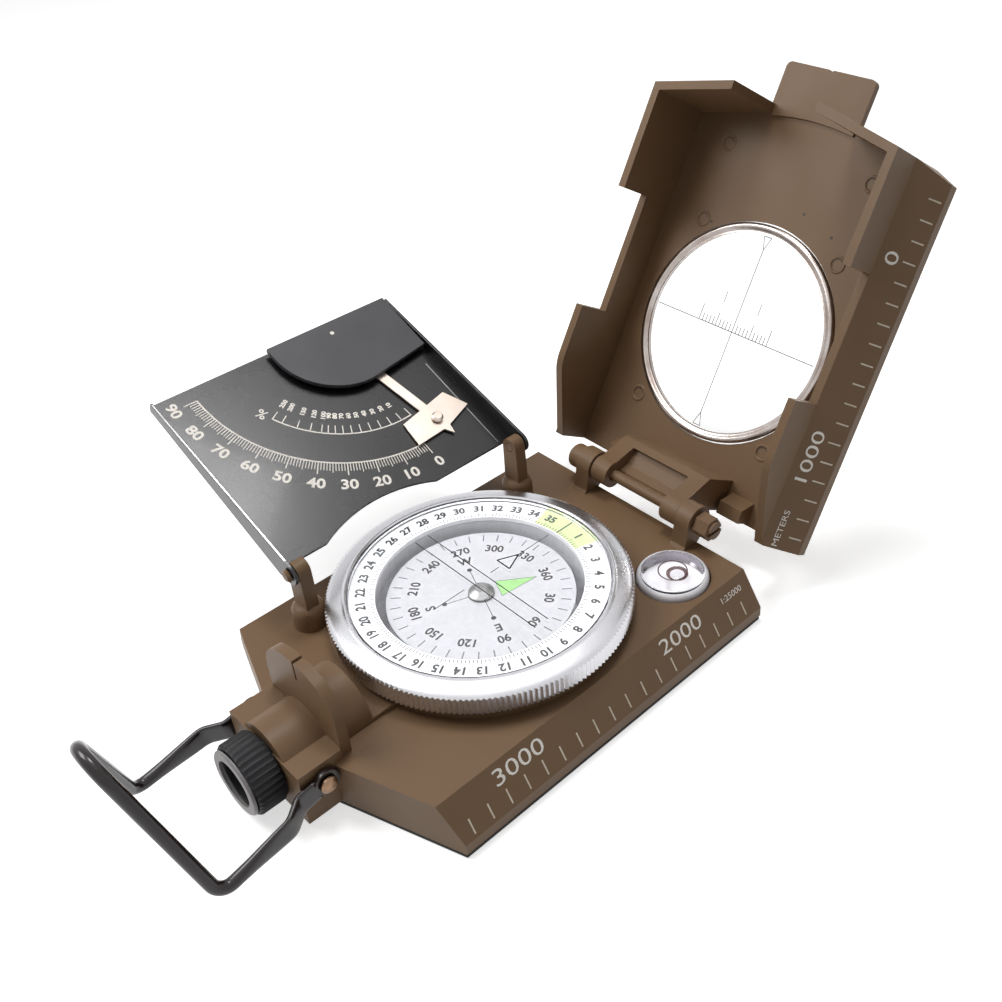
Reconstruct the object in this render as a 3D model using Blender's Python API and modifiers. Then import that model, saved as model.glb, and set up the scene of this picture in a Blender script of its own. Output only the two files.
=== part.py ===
"""Geology compass with a folding sighting lid, a clinometer plate and a wire bail.

Metres, +Z up.  The dial turns about the Z axis, the hinge lies at +Y and the eyepiece at -Y.
The underside of the rubber sole lies on the plane Z = 0.
"""

import math

import bmesh
import bpy
from mathutils import Matrix, Vector

MM = 0.001

# Clearances
SEAT = 0.30 * MM
RUN = 0.15 * MM
OVER = 1.0 * MM
ROOT = 0.5 * MM

# Base casting and sole
SOLE_THICK = 0.7 * MM
SOLE_INSET = 0.1 * MM
BASE_HALF_WIDTH = 33.3 * MM
BASE_BAND = 2.2 * MM
BASE_HEIGHT = 9.2 * MM
RULER_LEAN = 4.6 * MM
BASE_HINGE_END = 41.2 * MM
BASE_REAR_POINT = 44.3 * MM
REAR_SLOPE = 1.0 / 3.0

# Hinge
HINGE_X = 1.6 * MM
HINGE_Y = 41.66 * MM
HINGE_Z = 15.0 * MM
ROD_R = 1.2 * MM
KNUCKLE_R = 3.3 * MM
KNUCKLE_WIDTH = 3.6 * MM
KNUCKLE_FOOT = 4.0 * MM
KNUCKLE_TOE = 0.6 * MM
CAP_R = 2.6 * MM
CAP_WIDTH = 3.2 * MM
CAP_CHAMFER = 0.6 * MM
SCREW_R = 2.5 * MM
SCREW_WIDTH = 3.3 * MM
SCREW_TIP_R = 1.8 * MM
SCREW_TIP_LENGTH = 0.7 * MM
SCREW_SLOT = 0.7 * MM
ARM_INNER = 7.5 * MM
ARM_WIDTH = 4.0 * MM
ARM_RING_R = 2.9 * MM
ARM_SHOULDER = 0.9 * MM
ARM_CHIN = 1.7 * MM
ARM_REACH = 7.6 * MM
ARM_TOP_DROP = 4.6 * MM
WEB_THICK = 1.3 * MM
WEB_DROP = 2.0 * MM
STOP_WIDTH = 5.5 * MM
STOP_LENGTH = 5.0 * MM
STOP_TOP_LENGTH = 3.0 * MM
STOP_HEIGHT = 3.6 * MM

# Capsule, card and needle pivot
BOWL_R = 21.4 * MM
BOWL_WALL = 1.9 * MM
BOWL_FLOOR = 1.4 * MM
BOWL_DEPTH = 11.0 * MM
BOWL_BED = 2.3 * MM
BOWL_COVE = 1.5 * MM
BOWL_RIM = 3.3 * MM
BOSS_R = 27.0 * MM
BOSS_HEIGHT = 1.7 * MM
CARD_GAP = 1.9 * MM
CARD_THICK = 0.5 * MM
CARD_TOP_Z = 13.2 * MM
HUB_R = 2.4 * MM
HUB_HEIGHT = 1.0 * MM
HUB_TOP_R = 1.1 * MM
HUB_EDGE = 0.3 * MM
MAGNET_LENGTH = 24.0 * MM
MAGNET_WIDTH = 4.0 * MM
MAGNET_THICK = 1.2 * MM
NEEDLE_R = 0.9 * MM
NEEDLE_TAPER = 2.7 * MM

# Bezel, azimuth ring and crystal
BEZEL_R = 28.4 * MM
KNURL_HEIGHT = 4.0 * MM
KNURL_DEPTH = 0.45 * MM
KNURL_TEETH = 84
CONE_RISE = 0.9 * MM
LIP_HEIGHT = 0.4 * MM
LIP_R = 25.1 * MM
LIP_WIDTH = 0.7 * MM
SHELF_THICK = 2.4 * MM
RING_INNER_R = 19.3 * MM
RING_THICK = 0.9 * MM
CRYSTAL_THICK = 0.9 * MM

# Round level
LEVEL_INSET = 13.0 * MM
LEVEL_Y = 30.3 * MM
LEVEL_R = 7.0 * MM
LEVEL_DEPTH = 2.6 * MM
LEVEL_SEAT_THICK = 1.0 * MM
LEVEL_PROUD = 1.6 * MM
LEVEL_DOME = 0.5 * MM
LEVEL_CROWN_R = 3.5 * MM
LEVEL_CROWN_DROP = 0.12 * MM

# Rear sight housing and eyepiece block
SIGHT_FRONT = 39.0 * MM
SIGHT_HALF_WIDTH = 10.6 * MM
SIGHT_TOP_Z = 24.9 * MM
SIGHT_ARCH_R = 16.7 * MM
SIGHT_WALL = 2.0 * MM
HUMP_HALF_WIDTH = 11.2 * MM
HUMP_TOP_Z = 22.3 * MM
HUMP_ARCH_R = 13.0 * MM
HUMP_DEPTH = 4.0 * MM
HUMP_SPREAD = 2.2 * MM
NOTCH_WIDTH = 1.3 * MM
NOTCH_DEPTH = 1.1 * MM
SLIT_WIDTH = 0.5 * MM
SLIT_HEIGHT = 4.2 * MM
SLIT_DEPTH = 0.8 * MM
PRISM_WIDTH = 8.0 * MM
PRISM_SIZE = 4.0 * MM
PRISM_FACE = 2.0 * MM
PRISM_SETBACK = 1.0 * MM
PRISM_Z = 12.6 * MM
BLOCK_HALF_WIDTH = 10.3 * MM
BLOCK_TOP_Z = 12.4 * MM
BLOCK_LENGTH = 8.4 * MM
BARREL_R = 7.3 * MM
EYE_Z = 8.1 * MM
SLEEVE_R = 5.0 * MM
SLEEVE_LENGTH = 6.0 * MM
EYE_RING_R = 6.7 * MM
EYE_RING_LENGTH = 5.2 * MM
EYE_BORE_R = 4.4 * MM
EYE_RIBS = 26
EYE_RIB_DEPTH = 0.45 * MM
EYE_RIM_THICK = 0.5 * MM
EYE_RIM_R = 6.1 * MM
EYE_LENS_THICK = 1.2 * MM
EYE_LENS_SETBACK = 2.3 * MM
EYE_LENS_CROWN_R = 2.6 * MM
EYE_LENS_CROWN = 0.2 * MM
EYE_LENS_EDGE = 0.6 * MM

# Wire bail
BAIL_Y = 43.2 * MM
BAIL_Z = 8.9 * MM
BAIL_DROOP = math.radians(10.5)
BAIL_WIRE_R = 1.15 * MM
BAIL_REACH = 22.3 * MM
BAIL_HALF_WIDTH = 13.8 * MM
BAIL_APEX = 36.7 * MM
BAIL_TIP_R = 5.0 * MM
BAIL_LEAN = math.radians(5.0)
BAIL_BEND_R = 2.6 * MM
STRIP_THICK = 1.0 * MM
STRIP_WIDTH = 3.6 * MM
STRIP_LENGTH = 5.6 * MM
STRIP_END_WIDTH = 2.9 * MM
RIVET_R = 0.9 * MM
RIVET_HEAD_R = 1.6 * MM
RIVET_HEAD_HEIGHT = 0.9 * MM
RIVET_HEAD_EDGE = 0.3 * MM
RIVET_CROWN_R = 1.0 * MM
RIVET_CROWN = 0.15 * MM
RIVET_DEPTH = 2.2 * MM

# Lid, in its own frame laid flat beyond the hinge
LID_OPEN = math.radians(58.67)
LID_LEAN = 4.9 * MM
LID_WALL = 1.7 * MM
LID_DROP = 14.6 * MM
LID_FLOOR = 1.2 * MM
LID_BAND = 2.3 * MM
LID_BEND = 5.0 * MM
LID_RIM = 3.0 * MM
LID_NEAR = 0.6 * MM
LID_CORNER = 75.2 * MM
LID_SHOULDER = 77.3 * MM
LID_BROW = 81.3 * MM
LID_MOUTH_HALF = 9.8 * MM
LID_RECESS_END = 79.8 * MM
LID_RECESS_R = 60.0 * MM
GAP_NEAR = 29.7 * MM
GAP_FAR = 55.4 * MM
RAMP_START = 16.5 * MM
RAMP_FALL = 9.2 * MM
RAMP_ROUND = 9.0 * MM
TAB_HALF = 10.5 * MM
TAB_TIP = 90.1 * MM
TAB_THICK = 1.7 * MM
TAB_CORNER_R = 1.2 * MM
TAB_NOTCH = 0.5 * MM
LENS_Y = 35.33 * MM
LENS_RING_R = 22.9 * MM
LENS_RING_WIDTH = 2.0 * MM
LENS_RING_HEIGHT = 1.5 * MM
LENS_THICK = 0.7 * MM
LENS_GRIP = 0.9 * MM

# Clinometer plate and pendulum, in the plate's frame at its hinge pins
CLINO_Y = 1.7 * MM
POST_INSET = 12.7 * MM
POST_INNER = 24.7 * MM
POST_THICK = 2.6 * MM
POST_TOP_R = 1.9 * MM
POST_FOOT_HALF = 2.2 * MM
POST_STEP = 0.45 * MM
POST_STEP_HEIGHT = 4.2 * MM
PIVOT_Z = 23.0 * MM
PIN_R = 0.9 * MM
PIN_HEAD_R = 1.4 * MM
PIN_HEAD = 0.5 * MM
PIN_CROWN_R = 0.85 * MM
PLATE_TILT = math.radians(24.26)
PLATE_DROP = 2.5 * MM
PLATE_THICK = 0.7 * MM
PLATE_NEAR = 2.8 * MM
PLATE_FAR = 46.3 * MM
FLANGE_THICK = 0.6 * MM
FLANGE_END = 1.6 * MM
FLANGE_EAR_R = 2.2 * MM
PLATE_ARC_DEPTH = 3.0 * MM
PLATE_ARC_HALF = 13.2 * MM
PLATE_ARC_SHIFT = 4.5 * MM
SWING_S = 43.0 * MM
SWING_Y = 12.0 * MM
SWING_ANGLE = math.radians(11.4)
SWING_PIN_R = 0.7 * MM
COVER_R = 14.0 * MM
COVER_CORNER_S = 31.0 * MM
COVER_THICK = 1.0 * MM
COVER_LIFT = 0.8 * MM
COVER_BEVEL = 0.4 * MM
COVER_FOOT = 0.7 * MM
ARM_THICK = 0.45 * MM
ARM_LIFT = 0.3 * MM
SWING_ARM_HALF = 1.1 * MM
SWING_HUB_R = 1.5 * MM
WEIGHT_NEAR = 25.4 * MM
WEIGHT_FAR = 31.0 * MM
WEIGHT_NEAR_HALF = 6.2 * MM
WEIGHT_FAR_HALF = 7.8 * MM
POINTER_TIP = 34.0 * MM
POINTER_HALF = 0.9 * MM
WEIGHT_RIVET_AT = 29.1 * MM
WEIGHT_RIVET_R = 1.2 * MM
WEIGHT_RIVET_HEIGHT = 0.8 * MM
WEIGHT_RIVET_CHAMFER = 0.35 * MM

# Heights and places that follow from the sizes above
BASE_BOTTOM = SOLE_THICK + SEAT
BASE_TOP = BASE_BOTTOM + BASE_HEIGHT
BOSS_TOP = BASE_TOP + BOSS_HEIGHT
CAVITY_FLOOR = BASE_BOTTOM + BOWL_BED
BOWL_BOTTOM = CAVITY_FLOOR + SEAT
BOWL_TOP = BOWL_BOTTOM + BOWL_DEPTH
BEZEL_BOTTOM = BOSS_TOP + SEAT
KNURL_TOP = BEZEL_BOTTOM + KNURL_HEIGHT
SHELF_TOP = max(BEZEL_BOTTOM + SHELF_THICK, BOWL_TOP)
RING_BOTTOM = SHELF_TOP + SEAT
RING_TOP = RING_BOTTOM + RING_THICK
CRYSTAL_BOTTOM = RING_TOP + SEAT
CRYSTAL_TOP = CRYSTAL_BOTTOM + CRYSTAL_THICK
LIP_INNER_R = LIP_R - LIP_WIDTH
DISC_R = LIP_INNER_R - SEAT
BOWL_INNER_R = BOWL_R - BOWL_WALL
CARD_R = BOWL_INNER_R - CARD_GAP
ARM_OUTER = ARM_INNER + ARM_WIDTH
KNUCKLE_IN = ARM_OUTER + SEAT
KNUCKLE_OUT = KNUCKLE_IN + KNUCKLE_WIDTH
LEVEL_X = BASE_HALF_WIDTH - LEVEL_INSET
LEVEL_FLOOR = BASE_TOP - LEVEL_DEPTH
BLOCK_END = SIGHT_FRONT + BLOCK_LENGTH
POST_X = BASE_HALF_WIDTH - POST_INSET
POST_OUTER = POST_INNER + POST_THICK
EAR_INNER = POST_OUTER + SEAT
PLATE_HALF = EAR_INNER + FLANGE_THICK
LID_HALF_WIDTH = BASE_HALF_WIDTH
LID_WALL_HALF = LID_HALF_WIDTH - LID_LEAN
LID_FLOOR_TOP = -LID_DROP + LID_FLOOR
STRIP_X = BLOCK_HALF_WIDTH + SEAT + STRIP_THICK / 2
ROUND_STEPS = 60

PAINT = (0.205, 0.142, 0.094)
LOOKS = {
    "brown_paint": (PAINT, 0.55, 0.0),
    "black_rubber": ((0.010, 0.009, 0.008), 0.80, 0.0),
    "bright_aluminium": ((0.82, 0.82, 0.84), 0.28, 1.0),
    "white_print": ((0.85, 0.84, 0.86), 0.45, 0.0),
    "clear_glass": ((0.93, 0.95, 0.96), 0.03, 0.0),
    "steel": ((0.55, 0.55, 0.56), 0.30, 1.0),
    "magnet": ((0.12, 0.12, 0.13), 0.45, 1.0),
    "charcoal": ((0.030, 0.030, 0.033), 0.50, 0.0),
    "rim_grey": ((0.22, 0.21, 0.21), 0.45, 0.0),
    "black_enamel": ((0.020, 0.014, 0.013), 0.22, 0.0),
    "copper": ((0.36, 0.22, 0.15), 0.35, 1.0),
    "plate_black": ((0.028, 0.028, 0.031), 0.42, 0.0),
    "cover_grey": ((0.045, 0.045, 0.048), 0.48, 0.0),
    "cream_metal": ((0.72, 0.66, 0.60), 0.38, 0.6),
}


def clear_scene():
    """Remove what the file starts with."""
    for obj in list(bpy.data.objects):
        bpy.data.objects.remove(obj, do_unlink=True)


def collection(name):
    """Make a collection under the scene."""
    made = bpy.data.collections.new(name)
    bpy.context.scene.collection.children.link(made)
    return made


def material(name):
    """Make the Principled material of one look."""
    colour, roughness, metallic = LOOKS[name]
    made = bpy.data.materials.get(name)
    if made is None:
        made = bpy.data.materials.new(name)
        made.use_nodes = True
        shader = made.node_tree.nodes["Principled BSDF"]
        shader.inputs["Base Color"].default_value = (*colour, 1.0)
        shader.inputs["Roughness"].default_value = roughness
        shader.inputs["Metallic"].default_value = metallic
    return made


def solid(mesh):
    """Wrap a mesh in a loose object of the work collection."""
    obj = bpy.data.objects.new("work", mesh)
    WORK.objects.link(obj)
    return obj


def tidy(mesh, angle=0.0):
    """Weld doubled points, and dissolve flat edges if an angle is given."""
    bm = bmesh.new()
    bm.from_mesh(mesh)
    bmesh.ops.remove_doubles(bm, verts=bm.verts, dist=1e-6)
    if angle:
        bmesh.ops.dissolve_limit(bm, angle_limit=angle, verts=bm.verts, edges=bm.edges)
    bm.to_mesh(mesh)
    bm.free()


def evaluated(obj):
    """Return a new mesh of an object with its modifiers applied."""
    bpy.context.view_layer.update()
    graph = bpy.context.evaluated_depsgraph_get()
    return bpy.data.meshes.new_from_object(obj.evaluated_get(graph))


def bake(obj):
    """Apply an object's modifiers."""
    mesh = evaluated(obj)
    obj.modifiers.clear()
    obj.data = mesh
    return obj


def moved(obj, matrix):
    """Move a mesh in its own data."""
    obj.data.transform(matrix)
    return obj


def shifted(obj, x=0.0, y=0.0, z=0.0):
    """Shift a mesh in its own data."""
    return moved(obj, Matrix.Translation((x, y, z)))


# Turns a flat outline's (u, v, depth) into the two axes it is drawn in and the third
ALONG = {
    "X": Matrix(((0, 0, 1, 0), (1, 0, 0, 0), (0, 1, 0, 0), (0, 0, 0, 1))),
    "Y": Matrix(((1, 0, 0, 0), (0, 0, -1, 0), (0, 1, 0, 0), (0, 0, 0, 1))),
    "Z": Matrix.Identity(4),
}


def prism(axis, outline, low, high):
    """Extrude a flat outline along an axis: (y, z) on X, (x, z) on Y, (x, y) on Z."""
    curve = bpy.data.curves.new("outline", "CURVE")
    curve.dimensions = "2D"
    curve.fill_mode = "BOTH"
    curve.extrude = (high - low) / 2
    spline = curve.splines.new("POLY")
    spline.points.add(len(outline) - 1)
    for point, (u, v) in zip(spline.points, outline):
        point.co = (u, v, 0.0, 1.0)
    spline.use_cyclic_u = True
    drawn = bpy.data.objects.new("outline", curve)
    WORK.objects.link(drawn)
    mesh = evaluated(drawn)
    bpy.data.objects.remove(drawn)
    tidy(mesh)
    middle = (high + low) / 2
    mesh.transform(Matrix.Translation((0, 0, -middle if axis == "Y" else middle)))
    mesh.transform(ALONG[axis])
    bm = bmesh.new()
    bm.from_mesh(mesh)
    bmesh.ops.recalc_face_normals(bm, faces=bm.faces)
    bm.to_mesh(mesh)
    bm.free()
    return solid(mesh)


def box(low, high):
    """Make a block between two corners."""
    mesh = bpy.data.meshes.new("block")
    bm = bmesh.new()
    bmesh.ops.create_cube(bm, size=1.0)
    size = [b - a for a, b in zip(low, high)]
    centre = [(a + b) / 2 for a, b in zip(low, high)]
    bm.transform(Matrix.Translation(centre) @ Matrix.Diagonal((*size, 1.0)))
    bm.to_mesh(mesh)
    bm.free()
    return solid(mesh)


def rod(axis, radius, low, high, at=(0.0, 0.0), steps=ROUND_STEPS):
    """Make a round bar along an axis, at the two other coordinates in order."""
    mesh = bpy.data.meshes.new("rod")
    bm = bmesh.new()
    bmesh.ops.create_cone(
        bm, cap_ends=True, segments=steps, radius1=radius, radius2=radius, depth=high - low
    )
    middle = (low + high) / 2
    if axis == "X":
        bm.transform(Matrix.Rotation(math.pi / 2, 4, "Y"))
        bm.transform(Matrix.Translation((middle, *at)))
    elif axis == "Y":
        bm.transform(Matrix.Rotation(-math.pi / 2, 4, "X"))
        bm.transform(Matrix.Translation((at[0], middle, at[1])))
    else:
        bm.transform(Matrix.Translation((*at, middle)))
    bm.to_mesh(mesh)
    bm.free()
    return solid(mesh)


def turned(profile, steps=ROUND_STEPS, closed=False):
    """Turn a (radius, height) profile that runs down its outer side about Z."""
    mesh = bpy.data.meshes.new("turned")
    count = len(profile)
    edges = [(i, i + 1) for i in range(count - 1)]
    if closed:
        edges.append((count - 1, 0))
    mesh.from_pydata([(r, 0.0, z) for r, z in profile], edges, [])
    obj = solid(mesh)
    screw = obj.modifiers.new("turn", "SCREW")
    screw.axis = "Z"
    screw.angle = 2 * math.pi
    screw.steps = steps
    screw.render_steps = steps
    screw.use_merge_vertices = True
    screw.merge_threshold = 1e-6
    bake(obj)
    tidy(obj.data)
    return obj


def tube(points, radius):
    """Bend a round wire along a path and close its ends."""
    curve = bpy.data.curves.new("wire", "CURVE")
    curve.dimensions = "3D"
    curve.bevel_depth = radius
    curve.bevel_resolution = 2
    curve.use_fill_caps = True
    spline = curve.splines.new("POLY")
    spline.points.add(len(points) - 1)
    for point, co in zip(spline.points, points):
        point.co = (*co, 1.0)
    drawn = bpy.data.objects.new("wire", curve)
    WORK.objects.link(drawn)
    mesh = evaluated(drawn)
    bpy.data.objects.remove(drawn)
    tidy(mesh)
    return solid(mesh)


def combine(obj, other, operation):
    """Join, cut or keep the shared part of two solids, and drop the second."""
    boolean = obj.modifiers.new("combine", "BOOLEAN")
    boolean.operation = operation
    boolean.solver = "EXACT"
    boolean.object = other
    bake(obj)
    bpy.data.objects.remove(other)
    tidy(obj.data)
    return obj


def join(obj, *others):
    """Fuse solids into the first one."""
    for other in others:
        combine(obj, other, "UNION")
    return obj


def cut(obj, *others):
    """Cut solids out of the first one."""
    for other in others:
        combine(obj, other, "DIFFERENCE")
    return obj


def both(obj, other):
    """Keep what two solids share."""
    return combine(obj, other, "INTERSECT")


def bevel(obj, width, angle=40.0, segments=1):
    """Round the sharp edges of a piece."""
    rounding = obj.modifiers.new("edges", "BEVEL")
    rounding.width = width
    rounding.segments = segments
    rounding.limit_method = "ANGLE"
    rounding.angle_limit = math.radians(angle)
    bake(obj)
    tidy(obj.data)
    return obj


def piece(obj, name, look, parent=None, smooth=35.0):
    """Name a finished solid, give it its look and place it under its parent."""
    WORK.objects.unlink(obj)
    PARTS.objects.link(obj)
    obj.name = name
    obj.data.name = name
    obj.data.materials.clear()
    obj.data.materials.append(material(look))
    obj.data.shade_smooth()
    obj.data.set_sharp_from_angle(angle=math.radians(smooth))
    obj.parent = parent
    return obj


def pivot(name, location, rotation=(0.0, 0.0, 0.0), parent=None):
    """Make an empty on a joint's axis."""
    empty = bpy.data.objects.new(name, None)
    empty.empty_display_size = 5 * MM
    empty.location = location
    empty.rotation_euler = rotation
    empty.parent = parent
    PARTS.objects.link(empty)
    return empty


def arc(centre, radius, start, end, steps):
    """List points along an arc, angles in radians."""
    points = []
    for i in range(steps + 1):
        a = start + (end - start) * i / steps
        points.append((centre[0] + radius * math.cos(a), centre[1] + radius * math.sin(a)))
    return points


def mirrored(half):
    """Complete an outline whose right half runs upwards from the middle line."""
    return half + [(-u, v) for u, v in reversed(half)]


def filleted(path, radii, steps):
    """Round the inner corners of a path of points, each by its own radius."""
    rounded = [path[0]]
    for before, corner, after, radius in zip(path, path[1:], path[2:], radii):
        into = (before - corner).normalized()
        out = (after - corner).normalized()
        opening = into.angle(out)
        reach = radius / math.tan(opening / 2)
        centre = corner + (into + out).normalized() * (radius / math.sin(opening / 2))
        start = corner + into * reach - centre
        end = corner + out * reach - centre
        turn = start.angle(end)
        for i in range(steps + 1):
            t = i / steps
            a = math.sin((1 - t) * turn) / math.sin(turn)
            b = math.sin(t * turn) / math.sin(turn)
            rounded.append(centre + start * a + end * b)
    rounded.append(path[-1])
    return rounded


def base_plan(half_width, hinge_end, rear_point):
    """Outline the base from above, with its pointed rear end."""
    rear = -rear_point + half_width * REAR_SLOPE
    return [
        (0.0, -rear_point),
        (half_width, rear),
        (half_width, hinge_end),
        (-half_width, hinge_end),
        (-half_width, rear),
    ]


def arch(half_width, top, radius, foot):
    """Outline an arched wall standing on its foot."""
    spread = math.asin(half_width / radius)
    crown = arc((0.0, top - radius), radius, math.pi / 2 - spread, math.pi / 2 + spread, 16)
    return [(-half_width, foot), (half_width, foot)] + crown


def build_base():
    """Model the base casting with its posts, knuckles, sight and eyepiece block."""
    section = mirrored([
        (BASE_HALF_WIDTH, BASE_BOTTOM),
        (BASE_HALF_WIDTH, BASE_BOTTOM + BASE_BAND),
        (BASE_HALF_WIDTH - RULER_LEAN, BASE_TOP),
    ])
    base = prism("Y", section, -BASE_REAR_POINT - OVER, BASE_HINGE_END + OVER)
    plan = base_plan(BASE_HALF_WIDTH + OVER, BASE_HINGE_END, BASE_REAR_POINT)
    base = both(base, prism("Z", plan, BASE_BOTTOM - OVER, BASE_TOP + OVER))
    join(base, rod("Z", BOSS_R, BASE_TOP - ROOT, BOSS_TOP))

    # Arched sight wall, the lower hump behind it and the eyepiece block in front
    foot = BASE_BOTTOM + ROOT
    wall = prism(
        "Y",
        arch(SIGHT_HALF_WIDTH, SIGHT_TOP_Z, SIGHT_ARCH_R, foot),
        -SIGHT_FRONT,
        -SIGHT_FRONT + SIGHT_WALL,
    )
    wall_back = -SIGHT_FRONT + SIGHT_WALL
    hump_foot = wall_back + HUMP_DEPTH + HUMP_SPREAD
    hump = prism(
        "Y",
        arch(HUMP_HALF_WIDTH, HUMP_TOP_Z, HUMP_ARCH_R, foot),
        wall_back - ROOT,
        hump_foot,
    )
    slope = [
        (wall_back + HUMP_DEPTH, HUMP_TOP_Z),
        (hump_foot, BASE_TOP),
        (hump_foot + OVER, BASE_TOP),
        (hump_foot + OVER, HUMP_TOP_Z + OVER),
        (wall_back + HUMP_DEPTH, HUMP_TOP_Z + OVER),
    ]
    cut(hump, prism("X", slope, -BASE_HALF_WIDTH, BASE_HALF_WIDTH))
    block = box(
        (-BLOCK_HALF_WIDTH, -BLOCK_END, BASE_BOTTOM + ROOT / 2),
        (BLOCK_HALF_WIDTH, -SIGHT_FRONT + ROOT, BLOCK_TOP_Z),
    )
    barrel = rod("Y", BARREL_R, -BLOCK_END + SEAT, -SIGHT_FRONT + ROOT, at=(0.0, EYE_Z))
    above = box(
        (-BASE_HALF_WIDTH, -BLOCK_END - OVER, EYE_Z),
        (BASE_HALF_WIDTH, -SIGHT_FRONT + OVER, SIGHT_TOP_Z),
    )
    join(base, wall, hump, block, both(barrel, above))
    notch = [
        (0.0, SIGHT_TOP_Z - NOTCH_DEPTH),
        (NOTCH_WIDTH / 2, SIGHT_TOP_Z + OVER),
        (-NOTCH_WIDTH / 2, SIGHT_TOP_Z + OVER),
    ]
    cut(base, prism("Y", notch, -SIGHT_FRONT - OVER, wall_back + OVER))
    slit_low = (-SLIT_WIDTH / 2, -SIGHT_FRONT - OVER, SIGHT_TOP_Z - SLIT_HEIGHT)
    slit_high = (SLIT_WIDTH / 2, -SIGHT_FRONT + SLIT_DEPTH, SIGHT_TOP_Z + OVER)
    cut(base, box(slit_low, slit_high))
    eye_end = -BLOCK_END + SLEEVE_LENGTH + EYE_RIM_THICK
    cut(base, rod("Y", SLEEVE_R + RUN, -BLOCK_END - OVER, eye_end, at=(0.0, EYE_Z)))

    # Window of the sight prism, open towards the dial
    window = prism("X", prism_outline(SEAT), -PRISM_WIDTH / 2 - SEAT, PRISM_WIDTH / 2 + SEAT)
    cut(base, window)

    # Pockets of the capsule and the level
    cut(base, rod("Z", BOWL_R + SEAT, CAVITY_FLOOR, BOSS_TOP + OVER))
    cut(
        base,
        rod("Z", LEVEL_R + SEAT, LEVEL_FLOOR, BASE_TOP + OVER, at=(LEVEL_X, LEVEL_Y), steps=48),
    )

    # Hinge knuckles on their feet
    for side in (-1, 1):
        low, high = sorted((HINGE_X + side * KNUCKLE_IN, HINGE_X + side * KNUCKLE_OUT))
        front = HINGE_Y - KNUCKLE_FOOT
        outline = [
            (front, BASE_TOP + KNUCKLE_TOE),
            (front - KNUCKLE_TOE, BASE_TOP),
            (front - KNUCKLE_TOE, BASE_TOP - ROOT),
            (BASE_HINGE_END - SEAT, BASE_TOP - ROOT),
        ]
        outline += arc((HINGE_Y, HINGE_Z), KNUCKLE_R, -math.pi / 4, math.pi * 1.05, 18)
        knuckle = prism("X", outline, low, high)
        bore = rod("X", ROD_R + RUN, low - OVER, high + OVER, at=(HINGE_Y, HINGE_Z), steps=32)
        join(base, cut(knuckle, bore))

    # Clinometer posts with a stepped foot and a pin hole
    for side in (-1, 1):
        inner = CLINO_Y + side * POST_INNER
        outer = CLINO_Y + side * POST_OUTER
        low, high = sorted((inner, outer))
        upright = [
            (-POST_X - POST_FOOT_HALF, BASE_TOP - ROOT),
            (-POST_X + POST_FOOT_HALF, BASE_TOP - ROOT),
        ]
        upright += arc((-POST_X, PIVOT_Z), POST_TOP_R, 0.0, math.pi, 12)
        post = prism("Y", upright, low, high)
        step_low, step_high = sorted((inner - side * SEAT, outer + side * POST_STEP))
        step = box(
            (-POST_X - POST_FOOT_HALF - POST_STEP, step_low, BASE_TOP - ROOT),
            (-POST_X + POST_FOOT_HALF + SEAT, step_high, BASE_TOP + POST_STEP_HEIGHT),
        )
        join(post, step)
        hole = rod("Y", PIN_R + RUN, low - OVER, high + OVER, at=(-POST_X, PIVOT_Z), steps=24)
        join(base, cut(post, hole))

    # Rivet holes in the sides of the eyepiece block
    for side in (-1, 1):
        low, high = sorted((side * (BLOCK_HALF_WIDTH - RIVET_DEPTH), side * (BLOCK_HALF_WIDTH + OVER)))
        cut(base, rod("X", RIVET_R + SEAT, low, high, at=(-BAIL_Y, BAIL_Z), steps=24))
    tidy(base.data, math.radians(0.05))
    piece(base, "base_casting", "brown_paint")

    inset = SOLE_INSET
    sole_plan = base_plan(BASE_HALF_WIDTH - inset, BASE_HINGE_END - inset, BASE_REAR_POINT - inset)
    piece(prism("Z", sole_plan, 0.0, SOLE_THICK), "sole_pad", "black_rubber")


def prism_outline(margin):
    """Outline the sight prism's section in the hump, in (y, z); a margin leaves its window."""
    back = -SIGHT_FRONT + SIGHT_WALL + HUMP_DEPTH + HUMP_SPREAD
    front = back - PRISM_SETBACK - PRISM_SIZE - margin
    rear = back + OVER if margin else back - PRISM_SETBACK
    low = PRISM_Z - margin
    return [
        (front, low),
        (rear, low),
        (rear, PRISM_Z + PRISM_FACE + margin),
        (front, PRISM_Z + PRISM_SIZE + margin),
    ]


def build_sight_prism():
    """Model the glass block in the sight housing."""
    glass = prism("X", prism_outline(0.0), -PRISM_WIDTH / 2, PRISM_WIDTH / 2)
    piece(glass, "sight_prism", "clear_glass")


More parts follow.
